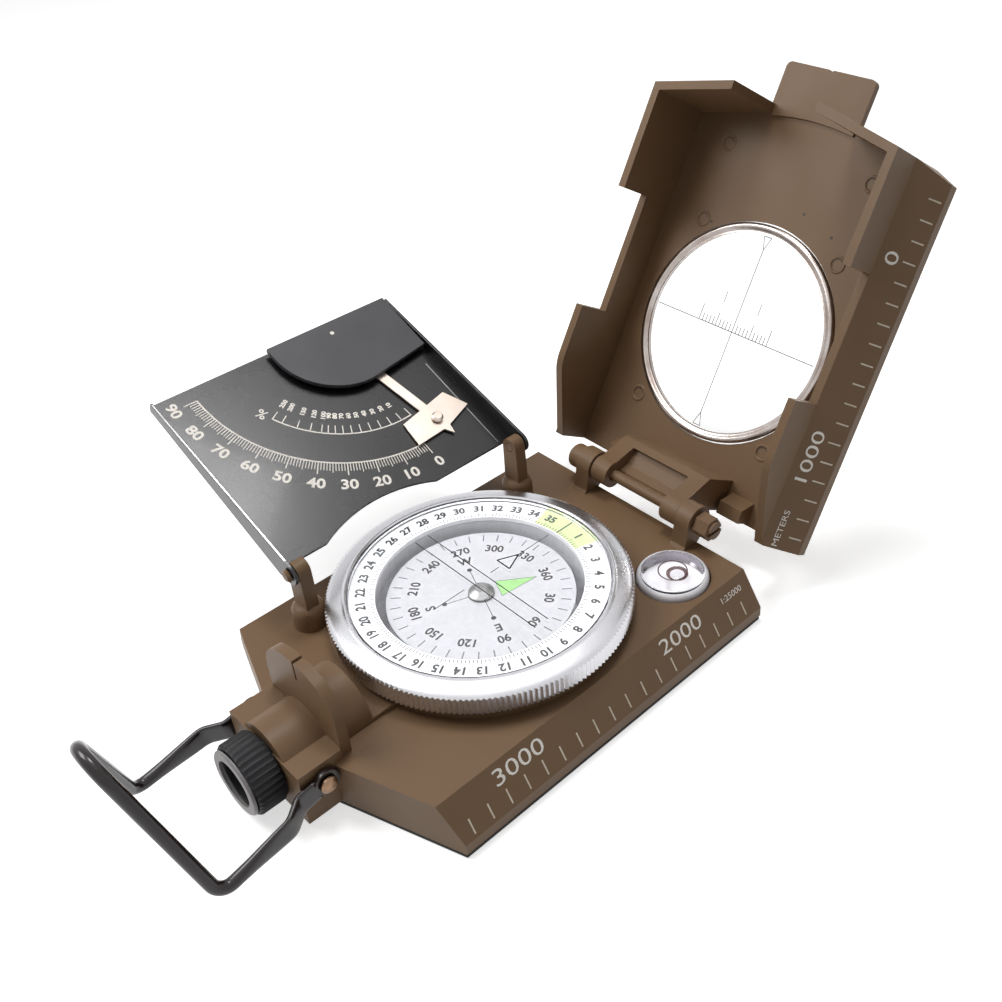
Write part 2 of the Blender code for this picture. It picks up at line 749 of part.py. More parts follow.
def build_hinge():
    """Model the hinge rod with its cap and its slotted screw head."""
    rod_left = HINGE_X - KNUCKLE_OUT
    rod_right = HINGE_X + KNUCKLE_OUT
    bar = rod("X", ROD_R, rod_left, rod_right, at=(HINGE_Y, HINGE_Z), steps=32)
    piece(bar, "hinge_rod", "brown_paint")
    cap = turned([
        (0.0, CAP_WIDTH),
        (CAP_R - CAP_CHAMFER, CAP_WIDTH),
        (CAP_R, CAP_WIDTH - CAP_CHAMFER),
        (CAP_R, 0.0),
        (0.0, 0.0),
    ], steps=32)
    moved(cap, Matrix.Rotation(-math.pi / 2, 4, "Y"))
    shifted(cap, rod_left - SEAT, HINGE_Y, HINGE_Z)
    piece(cap, "hinge_cap", "brown_paint")
    head = rod("X", SCREW_R, 0.0, SCREW_WIDTH, steps=6)
    end = SCREW_WIDTH + SCREW_TIP_LENGTH
    tip = rod("X", SCREW_TIP_R, SCREW_WIDTH - ROOT, end, steps=24)
    join(head, tip)
    slot = box(
        (SCREW_WIDTH, -SCREW_R, -SCREW_SLOT / 2),
        (end + OVER, SCREW_R, SCREW_SLOT / 2),
    )
    cut(head, slot)
    shifted(head, rod_right + SEAT, HINGE_Y, HINGE_Z)
    piece(head, "hinge_screw", "brown_paint")


def build_capsule():
    """Model the capsule bowl and the pivot that carries the card."""
    floor = BOWL_BOTTOM + BOWL_FLOOR
    bowl = turned([
        (0.0, floor),
        (BOWL_INNER_R - BOWL_COVE, floor),
        (BOWL_INNER_R, BOWL_TOP - BOWL_RIM),
        (BOWL_INNER_R, BOWL_TOP),
        (BOWL_R, BOWL_TOP),
        (BOWL_R, BOWL_BOTTOM),
        (0.0, BOWL_BOTTOM),
    ])
    piece(bowl, "capsule_bowl", "bright_aluminium")
    tip = CARD_TOP_Z - CARD_THICK - MAGNET_THICK - 2 * SEAT
    needle = turned([
        (0.0, tip),
        (NEEDLE_R, tip - NEEDLE_TAPER),
        (NEEDLE_R, floor + SEAT),
        (0.0, floor + SEAT),
    ], steps=24)
    piece(needle, "needle_pivot", "steel")


def build_card():
    """Model the floating card with its hub and its magnet."""
    axis = pivot("card_axis", (0.0, 0.0, CARD_TOP_Z))
    disc = rod("Z", CARD_R, -CARD_THICK, 0.0)
    piece(disc, "card_disc", "white_print", axis)
    hub = turned([
        (0.0, SEAT + HUB_HEIGHT),
        (HUB_TOP_R, SEAT + HUB_HEIGHT),
        (HUB_R, SEAT + HUB_EDGE),
        (HUB_R, SEAT),
        (0.0, SEAT),
    ], steps=40)
    piece(hub, "card_hub", "bright_aluminium", axis)
    top = -CARD_THICK - SEAT
    magnet = box(
        (-MAGNET_WIDTH / 2, -MAGNET_LENGTH / 2, top - MAGNET_THICK),
        (MAGNET_WIDTH / 2, MAGNET_LENGTH / 2, top),
    )
    piece(magnet, "card_magnet", "magnet", axis)


def build_bezel():
    """Model the knurled bezel with its azimuth ring and crystal."""
    axis = pivot("bezel_axis", (0.0, 0.0, BEZEL_BOTTOM))
    profile = [
        (LIP_INNER_R, CRYSTAL_TOP + LIP_HEIGHT),
        (LIP_R, CRYSTAL_TOP + LIP_HEIGHT),
        (LIP_R + SEAT, KNURL_TOP + CONE_RISE),
        (BEZEL_R, KNURL_TOP),
        (BEZEL_R, BEZEL_BOTTOM),
        (BOWL_R + SEAT, BEZEL_BOTTOM),
        (BOWL_R + SEAT, SHELF_TOP),
        (LIP_INNER_R, SHELF_TOP),
    ]
    ring = turned(profile, steps=2 * KNURL_TEETH, closed=True)

    # Every second column of the band moves in, which leaves straight teeth
    pitch = math.pi / KNURL_TEETH
    for vertex in ring.data.vertices:
        radius = math.hypot(vertex.co.x, vertex.co.y)
        column = round(math.atan2(vertex.co.y, vertex.co.x) / pitch)
        if radius > BEZEL_R - KNURL_DEPTH and column % 2:
            vertex.co.x *= (radius - KNURL_DEPTH) / radius
            vertex.co.y *= (radius - KNURL_DEPTH) / radius
    shifted(ring, z=-BEZEL_BOTTOM)
    piece(ring, "bezel_ring", "bright_aluminium", axis)
    white = turned([
        (RING_INNER_R, RING_TOP),
        (DISC_R, RING_TOP),
        (DISC_R, RING_BOTTOM),
        (RING_INNER_R, RING_BOTTOM),
    ], closed=True)
    shifted(white, z=-BEZEL_BOTTOM)
    piece(white, "azimuth_ring", "white_print", axis)
    glass = rod("Z", DISC_R, CRYSTAL_BOTTOM - BEZEL_BOTTOM, CRYSTAL_TOP - BEZEL_BOTTOM)
    piece(glass, "crystal", "clear_glass", axis)


def build_level():
    """Model the round level's white seat and its clear vial."""
    seat = turned([
        (0.0, LEVEL_SEAT_THICK),
        (LEVEL_R, LEVEL_SEAT_THICK),
        (LEVEL_R, 0.0),
        (0.0, 0.0),
    ], steps=48)
    seat_bottom = LEVEL_FLOOR + SEAT
    shifted(seat, LEVEL_X, LEVEL_Y, seat_bottom)
    piece(seat, "level_seat", "white_print")
    bottom = seat_bottom + LEVEL_SEAT_THICK + SEAT
    top = BASE_TOP + LEVEL_PROUD
    vial = turned([
        (0.0, top),
        (LEVEL_CROWN_R, top - LEVEL_CROWN_DROP),
        (LEVEL_R - LEVEL_DOME, top - LEVEL_DOME),
        (LEVEL_R, top - 2 * LEVEL_DOME),
        (LEVEL_R, bottom),
        (0.0, bottom),
    ], steps=48)
    shifted(vial, LEVEL_X, LEVEL_Y)
    piece(vial, "level_vial", "clear_glass")


def build_lid():
    """Model the lid casting, a tray with cut-away walls, and its lens."""
    axis = pivot("lid_axis", (0.0, HINGE_Y, HINGE_Z), (LID_OPEN, 0.0, 0.0))
    section = mirrored([
        (LID_HALF_WIDTH, -LID_DROP),
        (LID_HALF_WIDTH, -LID_DROP + LID_BAND),
        (LID_WALL_HALF, -LID_BEND),
        (LID_WALL_HALF, LID_RIM),
    ])
    lid = prism("Y", section, LID_NEAR, LID_BROW + OVER)
    flare = (LID_SHOULDER - LID_CORNER) / (LID_HALF_WIDTH - LID_WALL_HALF)
    plan = mirrored([
        (LID_HALF_WIDTH + OVER, LID_NEAR - OVER),
        (LID_HALF_WIDTH + OVER, LID_CORNER - flare * OVER),
        (LID_WALL_HALF, LID_SHOULDER),
        (LID_MOUTH_HALF, LID_BROW),
    ])
    both(lid, prism("Z", plan, -LID_DROP - OVER, LID_RIM + OVER))

    # The tray inside, its far end bowed between the two end walls
    inner = LID_WALL_HALF - LID_WALL
    slope = (LID_BROW - LID_SHOULDER) / (LID_WALL_HALF - LID_MOUTH_HALF)
    slant = LID_WALL * math.hypot(1.0, slope)
    corner = LID_SHOULDER + slope * LID_WALL - slant
    brow = LID_BROW - slant
    bow = math.asin(LID_MOUTH_HALF / LID_RECESS_R)
    bow_centre = (0.0, LID_RECESS_END - LID_RECESS_R)
    bowed = arc(bow_centre, LID_RECESS_R, math.pi / 2 - bow, math.pi / 2 + bow, 10)
    hollow = [(-inner, LID_NEAR - OVER), (inner, LID_NEAR - OVER), (inner, corner)]
    hollow += [(LID_MOUTH_HALF, brow)] + bowed + [(-LID_MOUTH_HALF, brow), (-inner, corner)]
    cut(lid, prism("Z", hollow, LID_FLOOR_TOP, LID_RIM + OVER))
    tab_top = -LID_DROP + TAB_THICK
    mouth = box(
        (-LID_MOUTH_HALF, LENS_Y, tab_top),
        (LID_MOUTH_HALF, LID_BROW + OVER, LID_RIM + OVER),
    )
    cut(lid, mouth)

    # Side gaps above the rulers, and the ramps down to the hinge
    gap = box(
        (-LID_HALF_WIDTH, GAP_NEAR, -LID_BEND),
        (LID_HALF_WIDTH, GAP_FAR, LID_RIM + OVER),
    )
    cut(lid, gap)
    fall = math.atan2(RAMP_FALL, RAMP_START)
    ramp = [(LID_NEAR - OVER, LID_RIM + OVER), (LID_NEAR - OVER, LID_RIM - RAMP_FALL)]
    ramp += arc(
        (RAMP_START + RAMP_ROUND * math.tan(fall / 2), LID_RIM - RAMP_ROUND),
        RAMP_ROUND,
        math.pi / 2 + fall,
        math.pi / 2,
        8,
    )
    ramp.append((RAMP_START + RAMP_ROUND, LID_RIM + OVER))
    cut(lid, prism("X", ramp, -LID_HALF_WIDTH, LID_HALF_WIDTH))

    # Latch tab with round corners and a small sighting notch
    tab = [(TAB_HALF, LID_RECESS_END)]
    tab += arc((TAB_HALF - TAB_CORNER_R, TAB_TIP - TAB_CORNER_R), TAB_CORNER_R, 0.0, math.pi / 2, 5)
    tab += [(TAB_NOTCH, TAB_TIP), (0.0, TAB_TIP - TAB_NOTCH)]
    tab += [(-u, v) for u, v in reversed(tab[:-1])]
    join(lid, prism("Z", tab, -LID_DROP + SEAT / 2, tab_top))

    # Hinge bracket: two arms on the rod, a web between them and two stops
    profile = [
        (ARM_SHOULDER, math.sqrt(ARM_RING_R ** 2 - ARM_SHOULDER ** 2)),
        (ARM_REACH, -ARM_TOP_DROP),
        (ARM_REACH, LID_FLOOR_TOP - ROOT),
        (LID_NEAR + SEAT, LID_FLOOR_TOP - ROOT),
        (LID_NEAR + SEAT, BASE_TOP + SEAT - HINGE_Z),
        (-ARM_CHIN, -math.sqrt(ARM_RING_R ** 2 - ARM_CHIN ** 2)),
    ]
    bracket = prism("X", profile, -ARM_OUTER, ARM_OUTER)
    join(bracket, rod("X", ARM_RING_R, -ARM_OUTER, ARM_OUTER, steps=32))
    web_front = LID_NEAR + SEAT + RUN
    web_back = ARM_REACH - WEB_THICK
    recess = [
        (-ARM_RING_R - OVER, ARM_RING_R + OVER),
        (web_back, ARM_RING_R + OVER),
        (web_back, -ARM_TOP_DROP),
        (web_front, -WEB_DROP),
        (web_front, LID_FLOOR_TOP),
        (-ARM_RING_R - OVER, LID_FLOOR_TOP),
    ]
    cut(bracket, prism("X", recess, -ARM_INNER, ARM_INNER))
    cut(bracket, rod("X", ROD_R + RUN, -ARM_OUTER - OVER, ARM_OUTER + OVER, steps=32))
    shifted(bracket, HINGE_X)
    join(lid, bracket)
    for side in (-1, 1):
        near = HINGE_X + side * (ARM_OUTER + OVER)
        low, high = sorted((near, near + side * STOP_WIDTH))
        stop = prism(
            "X",
            [
                (LID_NEAR + SEAT, LID_FLOOR_TOP - ROOT),
                (LID_NEAR + SEAT, LID_FLOOR_TOP + STOP_HEIGHT),
                (LID_NEAR + STOP_TOP_LENGTH, LID_FLOOR_TOP + STOP_HEIGHT),
                (LID_NEAR + STOP_LENGTH, LID_FLOOR_TOP - ROOT),
            ],
            low,
            high,
        )
        join(lid, stop)
    hole = rod("Z", LENS_RING_R + SEAT, -LID_DROP - OVER, LID_FLOOR_TOP + OVER, at=(0.0, LENS_Y))
    cut(lid, hole)
    tidy(lid.data, math.radians(0.05))
    piece(lid, "lid_casting", "brown_paint", axis)

    # Lens ring with an inner groove that holds the lens
    inner_r = LENS_RING_R - LENS_RING_WIDTH
    groove_r = inner_r + LENS_GRIP
    ring_low = -LID_DROP + SEAT
    lens_low = ring_low + (LENS_RING_HEIGHT - LENS_THICK) / 2
    ring = turned([
        (inner_r, ring_low + LENS_RING_HEIGHT),
        (LENS_RING_R, ring_low + LENS_RING_HEIGHT),
        (LENS_RING_R, ring_low),
        (inner_r, ring_low),
        (inner_r, lens_low - SEAT / 2),
        (groove_r, lens_low - SEAT / 2),
        (groove_r, lens_low + LENS_THICK + SEAT / 2),
        (inner_r, lens_low + LENS_THICK + SEAT / 2),
    ], closed=True)
    shifted(ring, y=LENS_Y)
    piece(ring, "lens_ring", "bright_aluminium", axis)
    lens = rod("Z", groove_r - SEAT / 2, lens_low, lens_low + LENS_THICK, at=(0.0, LENS_Y))
    piece(lens, "lens_glass", "clear_glass", axis)


def build_clinometer():
    """Model the clinometer plate, its pins and cover, and the pendulum."""
    for side, name in ((-1, "clinometer_pin_near"), (1, "clinometer_pin_far")):
        shank = turned([
            (0.0, PIN_HEAD),
            (PIN_CROWN_R, PIN_HEAD),
            (PIN_HEAD_R, 0.0),
            (PIN_R, 0.0),
            (PIN_R, -FLANGE_THICK - POST_THICK - 2 * SEAT),
            (0.0, -FLANGE_THICK - POST_THICK - 2 * SEAT),
        ], steps=24)
        moved(shank, Matrix.Rotation(-side * math.pi / 2, 4, "X"))
        shifted(shank, -POST_X, CLINO_Y + side * (PLATE_HALF + SEAT), PIVOT_Z)
        piece(shank, name, "steel")

    axis = pivot("clinometer_axis", (-POST_X, CLINO_Y, PIVOT_Z), (0.0, PLATE_TILT, 0.0))
    sag = PLATE_ARC_DEPTH
    notch_r = (PLATE_ARC_HALF ** 2 + sag ** 2) / (2 * sag)
    half = math.asin(PLATE_ARC_HALF / notch_r)
    centre = (-PLATE_NEAR - sag + notch_r, -PLATE_ARC_SHIFT)
    edge = PLATE_HALF - FLANGE_THICK / 2
    sheet = [(-PLATE_FAR, edge), (-PLATE_FAR, -edge), (-PLATE_NEAR, -edge)]
    sheet += arc(centre, notch_r, math.pi + half, math.pi - half, 14)
    sheet.append((-PLATE_NEAR, edge))
    under = -PLATE_DROP - PLATE_THICK
    plate = prism("Z", sheet, under, -PLATE_DROP)
    for side in (-1, 1):
        low, high = sorted((side * EAR_INNER, side * PLATE_HALF))
        fold = under + PLATE_THICK / 4
        tip = -PLATE_FAR + FLANGE_THICK
        flange = [(tip, fold), (-PLATE_NEAR + FLANGE_THICK, fold)]
        flange += arc((0.0, 0.0), FLANGE_EAR_R, -math.pi / 3, math.pi * 0.55, 12)
        flange.append((tip, -PLATE_DROP + FLANGE_END))
        wing = prism("Y", flange, low, high)
        eye = rod("Y", PIN_R + RUN, low - OVER, high + OVER, steps=24)
        join(plate, cut(wing, eye))
    swing_at = (-SWING_S, SWING_Y)
    cut(plate, rod("Z", SWING_PIN_R + RUN, under - OVER, -PLATE_DROP + OVER, at=swing_at, steps=20))
    piece(plate, "clinometer_plate", "plate_black", axis)

    # Cover on a foot along two edges, open where the pendulum swings
    floor = -PLATE_DROP + SEAT
    roof = floor + COVER_LIFT
    outer = -PLATE_FAR + SEAT
    side_y = EAR_INNER - SEAT
    dome = arc(swing_at, COVER_R, -math.pi / 2, 0.0, 14)
    cap = [(outer, SWING_Y - COVER_R)] + dome
    cap += [(-COVER_CORNER_S, side_y), (outer, side_y)]
    cover = prism("Z", cap, roof, roof + COVER_THICK)
    bevel(cover, COVER_BEVEL)
    long_foot = box(
        (outer + SEAT, SWING_Y - COVER_R + 2 * OVER, floor),
        (outer + SEAT + COVER_FOOT, side_y - OVER, roof + ROOT),
    )
    join(cover, long_foot)
    piece(cover, "clinometer_cover", "cover_grey", axis)
    pin = rod("Z", SWING_PIN_R, under, roof - SEAT / 2, at=swing_at, steps=20)
    piece(pin, "pendulum_pin", "steel", axis)

    # The pendulum hangs along its own +X
    hung = pivot("pendulum_axis", (-SWING_S, SWING_Y, -PLATE_DROP), (0.0, 0.0, SWING_ANGLE), axis)
    reach = math.asin(SWING_ARM_HALF / SWING_HUB_R)
    shape = [
        (WEIGHT_NEAR, SWING_ARM_HALF),
        (WEIGHT_NEAR, WEIGHT_NEAR_HALF),
        (WEIGHT_FAR, WEIGHT_FAR_HALF),
        (WEIGHT_FAR + POINTER_HALF, POINTER_HALF),
        (POINTER_TIP, 0.0),
    ]
    shape += [(u, -v) for u, v in reversed(shape[:-1])]
    shape.reverse()
    shape += arc((0.0, 0.0), SWING_HUB_R, reach, 2 * math.pi - reach, 16)
    arm = prism("Z", shape, ARM_LIFT, ARM_LIFT + ARM_THICK)
    cut(arm, rod("Z", SWING_PIN_R + RUN, -OVER, ARM_LIFT + ARM_THICK + OVER, steps=20))
    piece(arm, "pendulum_arm", "cream_metal", hung)
    seat = ARM_LIFT + ARM_THICK + SEAT
    stud = turned([
        (0.0, seat + WEIGHT_RIVET_HEIGHT),
        (WEIGHT_RIVET_R - WEIGHT_RIVET_CHAMFER, seat + WEIGHT_RIVET_HEIGHT),
        (WEIGHT_RIVET_R, seat + WEIGHT_RIVET_HEIGHT - WEIGHT_RIVET_CHAMFER),
        (WEIGHT_RIVET_R, seat),
        (0.0, seat),
    ], steps=24)
    shifted(stud, WEIGHT_RIVET_AT)
    piece(stud, "pendulum_rivet", "cream_metal", hung)


def build_bail():
    """Model the wire bail with its flattened ends and its two rivets."""
    axis = pivot("bail_axis", (0.0, -BAIL_Y, BAIL_Z), (BAIL_DROOP, 0.0, 0.0))
    kink = STRIP_LENGTH + STRIP_WIDTH / 2
    neck = BAIL_HALF_WIDTH - STRIP_THICK / 2
    end = [
        Vector((STRIP_X, -STRIP_LENGTH + STRIP_WIDTH / 2, 0.0)),
        Vector((STRIP_X, -STRIP_LENGTH, 0.0)),
    ]
    side = [Vector((neck, -kink, 0.0)), Vector((BAIL_HALF_WIDTH, -BAIL_REACH, 0.0))]
    rise = Vector((0.0, -math.sin(BAIL_LEAN), math.cos(BAIL_LEAN))) * BAIL_APEX
    tip = Vector((0.0, -BAIL_REACH, 0.0)) + rise
    loop = side + [tip] + [Vector((-p.x, p.y, p.z)) for p in reversed(side)]
    bent = filleted(loop, (BAIL_BEND_R, BAIL_TIP_R, BAIL_BEND_R), 6)
    route = end + bent + [Vector((-p.x, p.y, p.z)) for p in reversed(end)]
    wire = tube(route, BAIL_WIRE_R)
    for side in (-1, 1):
        low, high = sorted((side * (STRIP_X - STRIP_THICK / 2), side * (STRIP_X + STRIP_THICK / 2)))
        strip = arc((0.0, 0.0), STRIP_WIDTH / 2, -math.pi / 2, math.pi / 2, 10)
        strip += [(-STRIP_LENGTH, STRIP_END_WIDTH / 2), (-STRIP_LENGTH, -STRIP_END_WIDTH / 2)]
        plate = prism("X", strip, low, high)
        cut(plate, rod("X", RIVET_R + RUN, low - OVER, high + OVER, steps=24))
        join(wire, plate)
    keep = box(
        (-BLOCK_HALF_WIDTH - SEAT, -BAIL_REACH / 2, -STRIP_WIDTH),
        (BLOCK_HALF_WIDTH + SEAT, STRIP_WIDTH, STRIP_WIDTH),
    )
    cut(wire, keep)
    piece(wire, "bail_wire", "black_enamel", axis)
    outer = STRIP_THICK + 2 * SEAT
    for side, name in ((-1, "bail_rivet_left"), (1, "bail_rivet_right")):
        rivet = turned([
            (0.0, outer + RIVET_HEAD_HEIGHT),
            (RIVET_CROWN_R, outer + RIVET_HEAD_HEIGHT - RIVET_CROWN),
            (RIVET_HEAD_R, outer + RIVET_HEAD_EDGE),
            (RIVET_HEAD_R, outer),
            (RIVET_R, outer),
            (RIVET_R, -RIVET_DEPTH + SEAT),
            (0.0, -RIVET_DEPTH + SEAT),
        ], steps=24)
        moved(rivet, Matrix.Rotation(side * math.pi / 2, 4, "Y"))
        shifted(rivet, side * BLOCK_HALF_WIDTH, -BAIL_Y, BAIL_Z)
        piece(rivet, name, "copper")


def build_eyepiece():
    """Model the ribbed eyepiece with its rim and its lens, facing its own +Z."""
    axis = pivot("eyepiece_axis", (0.0, -BLOCK_END, EYE_Z), (math.pi / 2, 0.0, 0.0))
    low = SEAT
    high = low + EYE_RING_LENGTH
    steps = 3 * EYE_RIBS
    barrel = turned([
        (EYE_BORE_R, high),
        (EYE_RING_R - EYE_RIB_DEPTH, high),
        (EYE_RING_R, high - EYE_RIB_DEPTH),
        (EYE_RING_R, low + EYE_RIB_DEPTH),
        (EYE_RING_R - EYE_RIB_DEPTH, low),
        (SLEEVE_R, low),
        (SLEEVE_R, -SLEEVE_LENGTH),
        (EYE_BORE_R, -SLEEVE_LENGTH),
    ], steps=steps, closed=True)
    pitch = 2 * math.pi / steps
    for vertex in barrel.data.vertices:
        radius = math.hypot(vertex.co.x, vertex.co.y)
        column = round(math.atan2(vertex.co.y, vertex.co.x) / pitch)
        if radius > EYE_RING_R - EYE_RIB_DEPTH / 2 and column % 3 == 0:
            vertex.co.x *= (radius - EYE_RIB_DEPTH) / radius
            vertex.co.y *= (radius - EYE_RIB_DEPTH) / radius
    piece(barrel, "eyepiece_barrel", "charcoal", axis)
    rim_low = high + SEAT
    rim = turned([
        (EYE_BORE_R, rim_low + EYE_RIM_THICK),
        (EYE_RIM_R - EYE_RIM_THICK / 2, rim_low + EYE_RIM_THICK),
        (EYE_RIM_R, rim_low + EYE_RIM_THICK / 2),
        (EYE_RIM_R, rim_low),
        (EYE_BORE_R, rim_low),
    ], steps=48, closed=True)
    piece(rim, "eyepiece_rim", "rim_grey", axis)
    lens_low = high - EYE_LENS_SETBACK - EYE_LENS_THICK
    lens = turned([
        (0.0, lens_low + EYE_LENS_THICK),
        (EYE_LENS_CROWN_R, lens_low + EYE_LENS_THICK - EYE_LENS_CROWN),
        (EYE_BORE_R - SEAT, lens_low + EYE_LENS_EDGE),
        (EYE_BORE_R - SEAT, lens_low),
        (0.0, lens_low),
    ], steps=48)
    piece(lens, "eyepiece_lens", "clear_glass", axis)


clear_scene()
PARTS = collection("geology_compass")
WORK = collection("cutters")
build_base()
build_sight_prism()
build_hinge()
build_capsule()
build_card()
build_bezel()
build_level()
build_lid()
build_clinometer()
build_bail()
build_eyepiece()
bpy.context.view_layer.update()
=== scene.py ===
"""Looks of the geology compass: paint, bare metal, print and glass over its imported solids.

Each class holds one sub-assembly's sizes in millimetres, builds its pieces in the row frame and
hangs them on the body that they move with. The helpers turn millimetres into metres. Only the
studio is laid out in metres.
"""

import logging
import math
from dataclasses import dataclass
from enum import Enum
from typing import Mapping, Optional, Sequence, Union

import bmesh
import bpy
from mathutils import Matrix, Vector


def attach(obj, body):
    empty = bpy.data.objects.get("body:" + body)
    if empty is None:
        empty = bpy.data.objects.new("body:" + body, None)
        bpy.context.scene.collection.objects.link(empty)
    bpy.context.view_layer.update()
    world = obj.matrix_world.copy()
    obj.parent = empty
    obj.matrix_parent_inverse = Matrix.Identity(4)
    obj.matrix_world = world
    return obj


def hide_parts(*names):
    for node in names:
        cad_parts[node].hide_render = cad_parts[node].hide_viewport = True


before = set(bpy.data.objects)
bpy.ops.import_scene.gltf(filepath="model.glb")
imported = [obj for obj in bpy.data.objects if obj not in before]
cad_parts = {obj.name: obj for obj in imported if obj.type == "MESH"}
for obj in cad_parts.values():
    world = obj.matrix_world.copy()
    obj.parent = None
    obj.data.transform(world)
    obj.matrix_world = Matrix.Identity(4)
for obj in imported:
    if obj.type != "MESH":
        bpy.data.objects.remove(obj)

MM = 0.001
LIFT = 0.02
WELD_GAP = 1e-6
SAME_POINT = 1e-7
FLAT_ANGLE = math.radians(1.0)
EDGE_ANGLE = math.radians(32.0)
CREASE_ANGLE = math.radians(38.0)
EAST = (1.0, 0.0, 0.0)
NORTH = (0.0, 1.0, 0.0)
UP = (0.0, 0.0, 1.0)
COAT_ROUGH = 0.08
RINGS = 9000.0
STAY = Matrix.Identity(4)
CENTRE = (0.0, 0.0)
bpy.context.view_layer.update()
LOG = logging.getLogger("compass")

Point = tuple[float, float]
Place = tuple[float, float, float]
Colour = tuple[float, float, float, float]
Piece = bpy.types.Object
Node = bpy.types.Node
Socket = bpy.types.NodeSocket
Feed = Union[Socket, float, Sequence[float]]


class Body(Enum):
    """Moving bodies that new pieces hang on."""

    BASE = "base"
    LID = "lid"
    BEZEL = "bezel"
    CARD = "card"
    CLINOMETER = "clinometer"
    BAIL = "bail"
    EYEPIECE = "eyepiece"


class Slot(Enum):
    """Names of material slots."""

    PAINT = "brown_paint"
    PRINT = "white_print"
    METAL = "bright_aluminium"
    GLASS = "clear_glass"
    ENAMEL = "black_enamel"


class Effect(Enum):
    """Surface effects that several finishes share."""

    GRAIN = "casting_grain"
    EDGE_WEAR_AND_HIGHLIGHT = "edge_wear_and_highlight"
    SMUDGE = "handling_smudge"
    TURNING = "turning_marks"


def tone(red: int, green: int, blue: int) -> Colour:
    """Turn a display colour of 0 to 255 into the linear colour that shaders take.

    Args:
        red: Red share.
        green: Green share.
        blue: Blue share.

    Returns:
        The linear colour, opaque.
    """
    shares = []
    for value in (red, green, blue):
        share = value / 255
        shares.append(share / 12.92 if share <= 0.04045 else ((share + 0.055) / 1.055) ** 2.4)
    return shares[0], shares[1], shares[2], 1.0


class Wiring:
    """Places and joins the nodes of one shader tree."""

    def __init__(self, tree: bpy.types.NodeTree) -> None:
        """Start from an empty tree."""
        tree.nodes.clear()
        self.tree = tree

    def node(
        self, kind: str, feeds: Optional[Mapping[object, Feed]] = None, **settings: object
    ) -> Node:
        """Place a node.

        Args:
            kind: The node's type name.
            feeds: What goes into its inputs, by name or number.
            settings: Properties to set on it first.

        Returns:
            The new node.
        """
        made = self.tree.nodes.new(kind)
        for name, value in settings.items():
            setattr(made, name, value)
        self.fill(made, feeds or {})
        return made

    def fill(self, node: Node, feeds: Mapping[object, Feed]) -> None:
        """Link sockets to a node's inputs, or set the inputs to plain values.

        Args:
            node: The node.
            feeds: What goes into its inputs, by name or number.
        """
        for name, value in feeds.items():
            if isinstance(value, Socket):
                self.tree.links.new(value, node.inputs[name])
            else:
                node.inputs[name].default_value = value

    def noise(self, scale: Feed, detail: float) -> Socket:
        """Place a noise texture over the piece's own coordinates.

        Args:
            scale: Cells per metre.
            detail: Octaves of finer noise.

        Returns:
            The noise's value.
        """
        place = self.node("ShaderNodeTexCoord").outputs["Object"]
        feeds = {"Vector": place, "Scale": scale, "Detail": detail}
        return self.node("ShaderNodeTexNoise", feeds).outputs["Fac"]

    def span(
        self, source: Socket, low: float, high: float, out: tuple[Feed, Feed] = (0.0, 1.0)
    ) -> Socket:
        """Stretch a value from one span to another.

        Args:
            source: The value.
            low: Where the span starts.
            high: Where it ends.
            out: The span that it becomes.

        Returns:
            The stretched value.
        """
        feeds = {"Value": source, "From Min": low, "From Max": high}
        feeds.update({"To Min": out[0], "To Max": out[1]})
        return self.node("ShaderNodeMapRange", feeds).outputs["Result"]

    def maths(self, operation: str, first: Socket, second: Socket) -> Socket:
        """Combine two values by a named operation."""
        made = self.node("ShaderNodeMath", {0: first, 1: second}, operation=operation)
        return made.outputs[0]

    def blend(self, mask: Socket, first: Feed, second: Feed) -> Socket:
        """Mix two colours by a mask, which shows where the second one lies."""
        feeds = {"Factor": mask, 6: first, 7: second}
        return self.node("ShaderNodeMix", feeds, data_type="RGBA").outputs[2]

    def effect(self, effect: Effect, **values: float) -> Mapping[str, Socket]:
        """Place a shared effect with its own values, and give what it puts out by name."""
        group = EffectShelf.group(effect)
        return self.node("ShaderNodeGroup", values, node_tree=group).outputs


